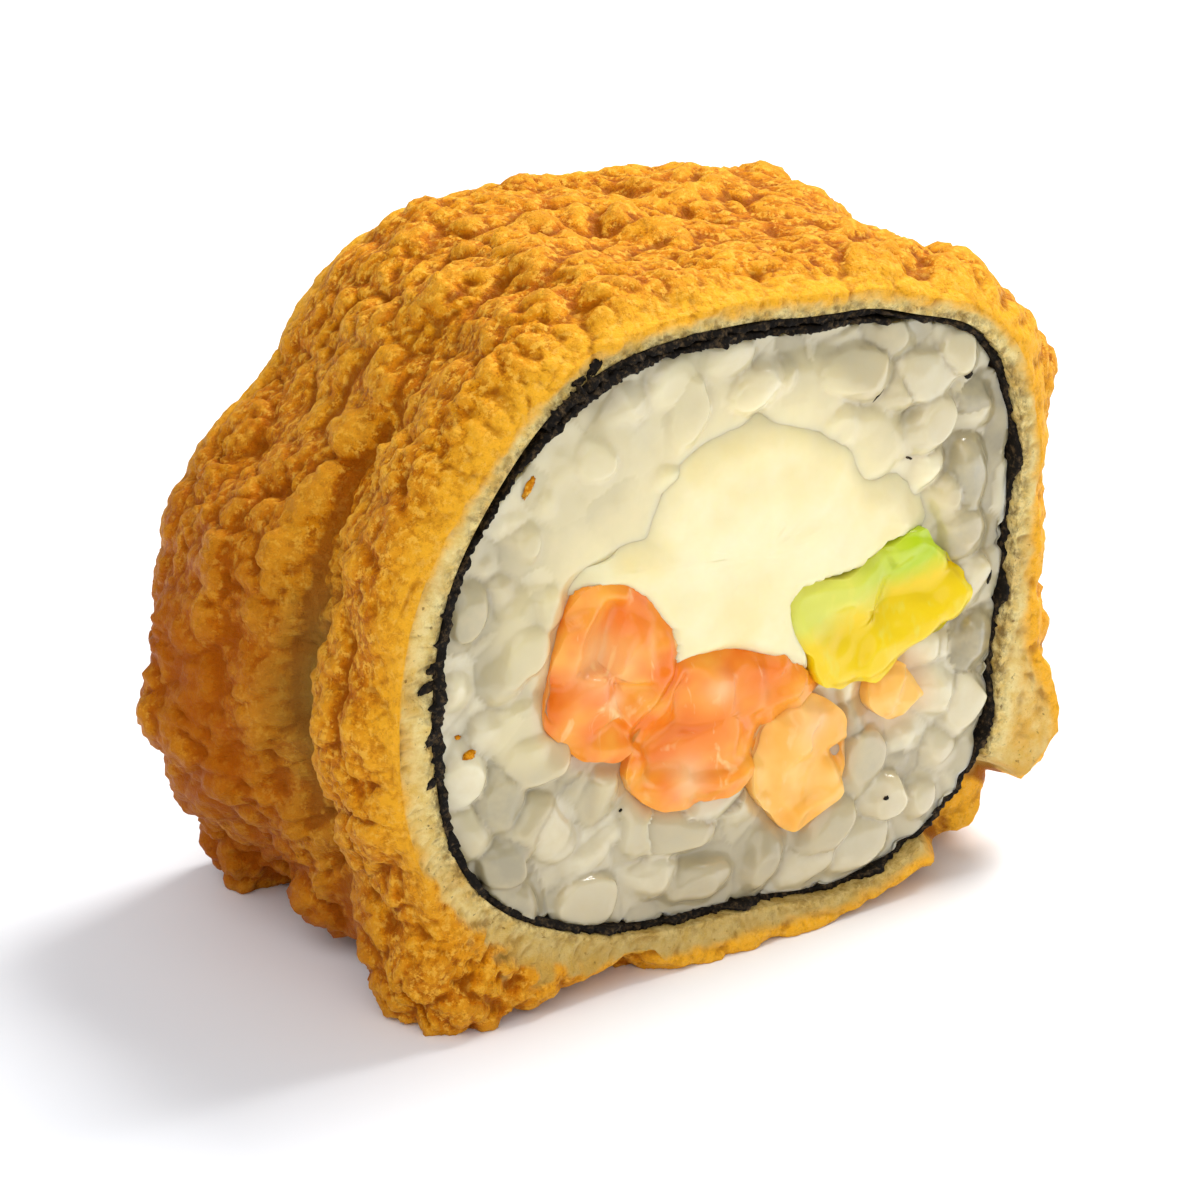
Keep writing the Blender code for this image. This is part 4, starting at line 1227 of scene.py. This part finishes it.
def crust_looks():
    looks = Looks("fried_crust", 0.5, 0.14, (0.04, (1.0, 0.5, 0.1), 0.6 * MM))
    looks.shader.inputs["Specular Tint"].default_value = (1.0, 0.72, 0.3, 1.0)
    cavity = looks.value("cavity")
    fewer = looks.span(looks.value("near"), 0.0, 1.0, 1.0, 0.4)
    flecks = looks.reckon("MULTIPLY", looks.blotches(0.6 * MM, 0.48, 0.6, 0.8, detail=4, rough=0.8), fewer)
    patches = looks.blotches(5.0 * MM, 0.25, 0.6, 1.0, 0.45)
    gold = looks.layers(
        "deep gold",
        (looks.blotches(3.4 * MM, 0.38, 0.62), "gold"),
        (looks.blotches(0.9 * MM, 0.45, 0.65, detail=4, rough=0.75), "bright gold"),
        (looks.blotches(7.0 * MM, 0.5, 0.75, 0.7, detail=2), "orange"),
        (looks.marked("near", 0.9), "pale gold"),
        (flecks, "brown fleck"),
        (looks.blotches(0.45 * MM, 0.52, 0.62, 0.85, rough=0.7), "light fleck"),
        # Painted shade in the crevices and painted light on the ridges, by how deep each point lies
        (looks.span(cavity, 0.0, 0.4, 0.0, 0.85), "painted crevice shade"),
        (looks.span(cavity, -0.05, -0.35, 0.0, 0.45), "painted ridge light"),
        (looks.reckon("MULTIPLY", looks.value("brown"), patches), "darker brown"),
        (looks.marked("thin", 0.95), "thin batter"),
    )
    toasted = looks.reckon("MULTIPLY", looks.value("toasted"), looks.blotches(1.2 * MM, 0.35, 0.6, 0.7, 0.2))
    # Soot specks and painted shade on the crumb beside the nori
    soot_and_shade = looks.blotches(0.6 * MM, 0.42, 0.62, detail=4, rough=0.7)
    crumb = looks.layers(
        "crumb",
        (looks.blotches(0.8 * MM, 0.4, 0.65, detail=4, rough=0.7), "dull crumb"),
        (looks.blotches(1.8 * MM, 0.5, 0.7, 0.6), "crumb patch"),
        (toasted, "toast"),
        # Painted shade in the crumb's pores, by how deep each point lies
        (looks.span(cavity, 0.05, 0.4, 0.0, 0.6), "pore"),
        (looks.blotches(0.35 * MM, 0.64, 0.72, 0.7), "burnt speck"),
        (looks.reckon("MULTIPLY", soot_and_shade, looks.marked("sooty_and_shaded", 0.8)), "soot_and_shade"),
        # Painted shade: the crumb darker towards the floor
        (looks.span(looks.along("Z"), 9 * MM, 3 * MM, 0.0, 0.55), "low crumb shade"),
    )
    whole = looks.layers(gold, (looks.value("crumb"), crumb))
    return looks.finish(whole, (0.6 * MM, 0.3 * MM, 0.9, 5, 0.75), (0.2 * MM, 0.12 * MM, 0.7, 3, 0.6))


def nori_looks():
    looks = Looks("nori", 0.75, 0.15)
    worn = looks.blotches(0.4 * MM, 0.5, 0.7, detail=4, rough=0.7)
    return looks.finish(looks.layers("seaweed", (worn, "worn seaweed")), (0.25 * MM, 0.12 * MM, 0.8, 4, 0.7))


def creamy(looks, plain, bright):
    """The plain colour of rice, fading into the bright one of the cheese across its uneven edge."""
    uneven = looks.blotches(2.4 * MM, 0.0, 1.0, CREAMY_WOBBLE, -CREAMY_WOBBLE)
    share = looks.span(looks.reckon("ADD", looks.value("edge"), uneven), *CREAMY_EDGE)
    return looks.layers(plain, (share, bright))


def rice_looks():
    looks = Looks("rice", 0.24, 0.5, (0.8, (1.0, 0.9, 0.65), 1.2 * MM), (0.7, 0.05))
    tint = looks.value("tint")
    grain = looks.layers(
        "dull grain",
        (looks.span(tint, 0.0, 0.5), "grain"),
        (looks.span(tint, 0.5, 1.0), "bright grain"),
        (looks.blotches(1.8 * MM, 0.35, 0.7, 0.55), "straw"),
        (looks.marked("smear", 0.75), "smeared rice"),
        # Painted shade in the creases between grains
        (looks.marked("crease", 0.25), "rice crease shade"),
        # Painted shade where the rice lies deeper behind the cut
        (looks.span(looks.value("deep"), 0.5, 2.0, 0.0, 0.6), "recessed rice shade"),
        (looks.marked("stain", 0.4), "stained rice"),
        # Painted shade: the rice darker towards the floor
        (looks.span(looks.along("Z"), 14 * MM, 5 * MM, 0.0, 0.5), "low rice shade"),
    )
    return looks.finish(creamy(looks, grain, "creamy rice"), (0.9 * MM, 0.06 * MM, 0.4))


def cheese_looks():
    looks = Looks("cream_cheese", 0.42, 0.45, (0.6, (1.0, 0.85, 0.55), 1.0 * MM), (0.2, 0.2))
    body = looks.layers(
        "cheese",
        (looks.blotches(3.0 * MM, 0.35, 0.65), "pale cheese"),
        (looks.span(looks.value("edge"), 0.5, 4.0, 0.0, 0.45), "bright cheese"),
    )
    return looks.finish(creamy(looks, "smeared rice", body), (0.8 * MM, 0.07 * MM, 0.5))


def salmon_looks(name, deep, pale, streaked):
    looks = Looks(name, 0.3, 0.25, (0.15, (1.0, 0.7, 0.3), 0.6 * MM), (0.4, 0.04))
    streaks = looks.blotches(1.6 * MM, 0.6, 0.7, streaked, rough=0.6, stretch=(1.0, 1.0, 0.5), distortion=0.8)
    flesh = looks.layers(
        deep,
        (looks.blotches(2.8 * MM, 0.35, 0.65, 0.9, 0.1, detail=2), pale),
        (looks.marked("dark", 0.85), deep),
        (looks.marked("pale", 0.8), "marbling"),
        (streaks, "streak"),
    )
    return looks.finish(flesh, (0.6 * MM, 0.06 * MM, 0.4))


def cucumber_looks():
    looks = Looks("cucumber", 0.3, 0.25, (0.25, (0.8, 1.0, 0.15), 0.8 * MM), (0.35, 0.06))
    across = looks.along("X")
    lean = looks.reckon("SUBTRACT", looks.along("Z"), looks.reckon("MULTIPLY", across, 0.25))
    wobble = looks.blotches(2.6 * MM, 0.0, 1.0, 1.5 * MM, -1.5 * MM)
    flesh = looks.layers(
        "cucumber",
        (looks.span(across, 8.0 * MM, 12.5 * MM), "green"),
        (looks.span(looks.reckon("ADD", lean, wobble), 18.4 * MM, 16.2 * MM), "ripe"),
        (looks.blotches(1.4 * MM, 0.55, 0.7, 0.5, rough=0.6, stretch=(1.0, 1.0, 0.4)), "pale streak"),
    )
    return looks.finish(flesh, (0.7 * MM, 0.05 * MM, 0.4))


# The stage


def make_floor():
    mesh = bpy.data.meshes.new("floor")
    corners = ((-1, -1), (1, -1), (1, 1), (-1, 1))
    mesh.from_pydata([(x * FLOOR_HALF, y * FLOOR_HALF, 0) for x, y in corners], [], [(0, 1, 2, 3)])
    floor = bpy.data.objects.new("floor", mesh)
    looks = Looks("floor", 0.7, 0.2)
    colour = looks.layers("floor", (looks.blotches(40 * MM, 0.3, 0.7, detail=2), "bright floor"))
    mesh.materials.append(looks.finish(colour))
    bpy.context.scene.collection.objects.link(floor)


def make_light(name, direction, size, power, colour):
    data = bpy.data.lights.new(name, "AREA")
    data.size = size
    data.energy = power
    data.color = colour
    light = bpy.data.objects.new(name, data)
    light.location = Vector(direction).normalized() * LIGHT_DISTANCE + LIT_POINT
    light.rotation_euler = (-Vector(direction)).to_track_quat("-Z", "Y").to_euler()
    bpy.context.scene.collection.objects.link(light)


def make_camera():
    azimuth = math.radians(CAMERA_AZIMUTH)
    elevation = math.radians(CAMERA_ELEVATION)
    level = math.cos(elevation)
    back = Vector((-math.sin(azimuth) * level, -math.cos(azimuth) * level, math.sin(elevation)))
    data = bpy.data.cameras.new("camera")
    data.sensor_width = CAMERA_SENSOR
    data.lens = data.sensor_width * CAMERA_DISTANCE / CAMERA_FIELD
    data.clip_start = CAMERA_NEAREST
    camera = bpy.data.objects.new("camera", data)
    camera.location = AXIS + CAMERA_AIM + back * CAMERA_DISTANCE
    camera.rotation_euler = (-back).to_track_quat("-Z", "Y").to_euler()
    bpy.context.scene.collection.objects.link(camera)
    bpy.context.scene.camera = camera


def make_stage():
    make_floor()
    for name, light in LIGHTS.items():
        make_light(name, *light)
    world = bpy.data.worlds.new("studio")
    world.use_nodes = True
    sky = world.node_tree.nodes["Background"].inputs
    sky["Color"].default_value = SKY_COLOUR
    sky["Strength"].default_value = SKY_STRENGTH
    bpy.context.scene.world = world
    bpy.context.scene.view_settings.view_transform = "Standard"


def main():
    make_camera()
    make_stage()
    crust = crust_looks()
    seaweed = nori_looks()
    coat = make_crust(crust)
    make_nori(seaweed)
    rice_front = make_rice(rice_looks())
    make_specks((rice_front, coat), seaweed, crust)
    make_filling()


main()
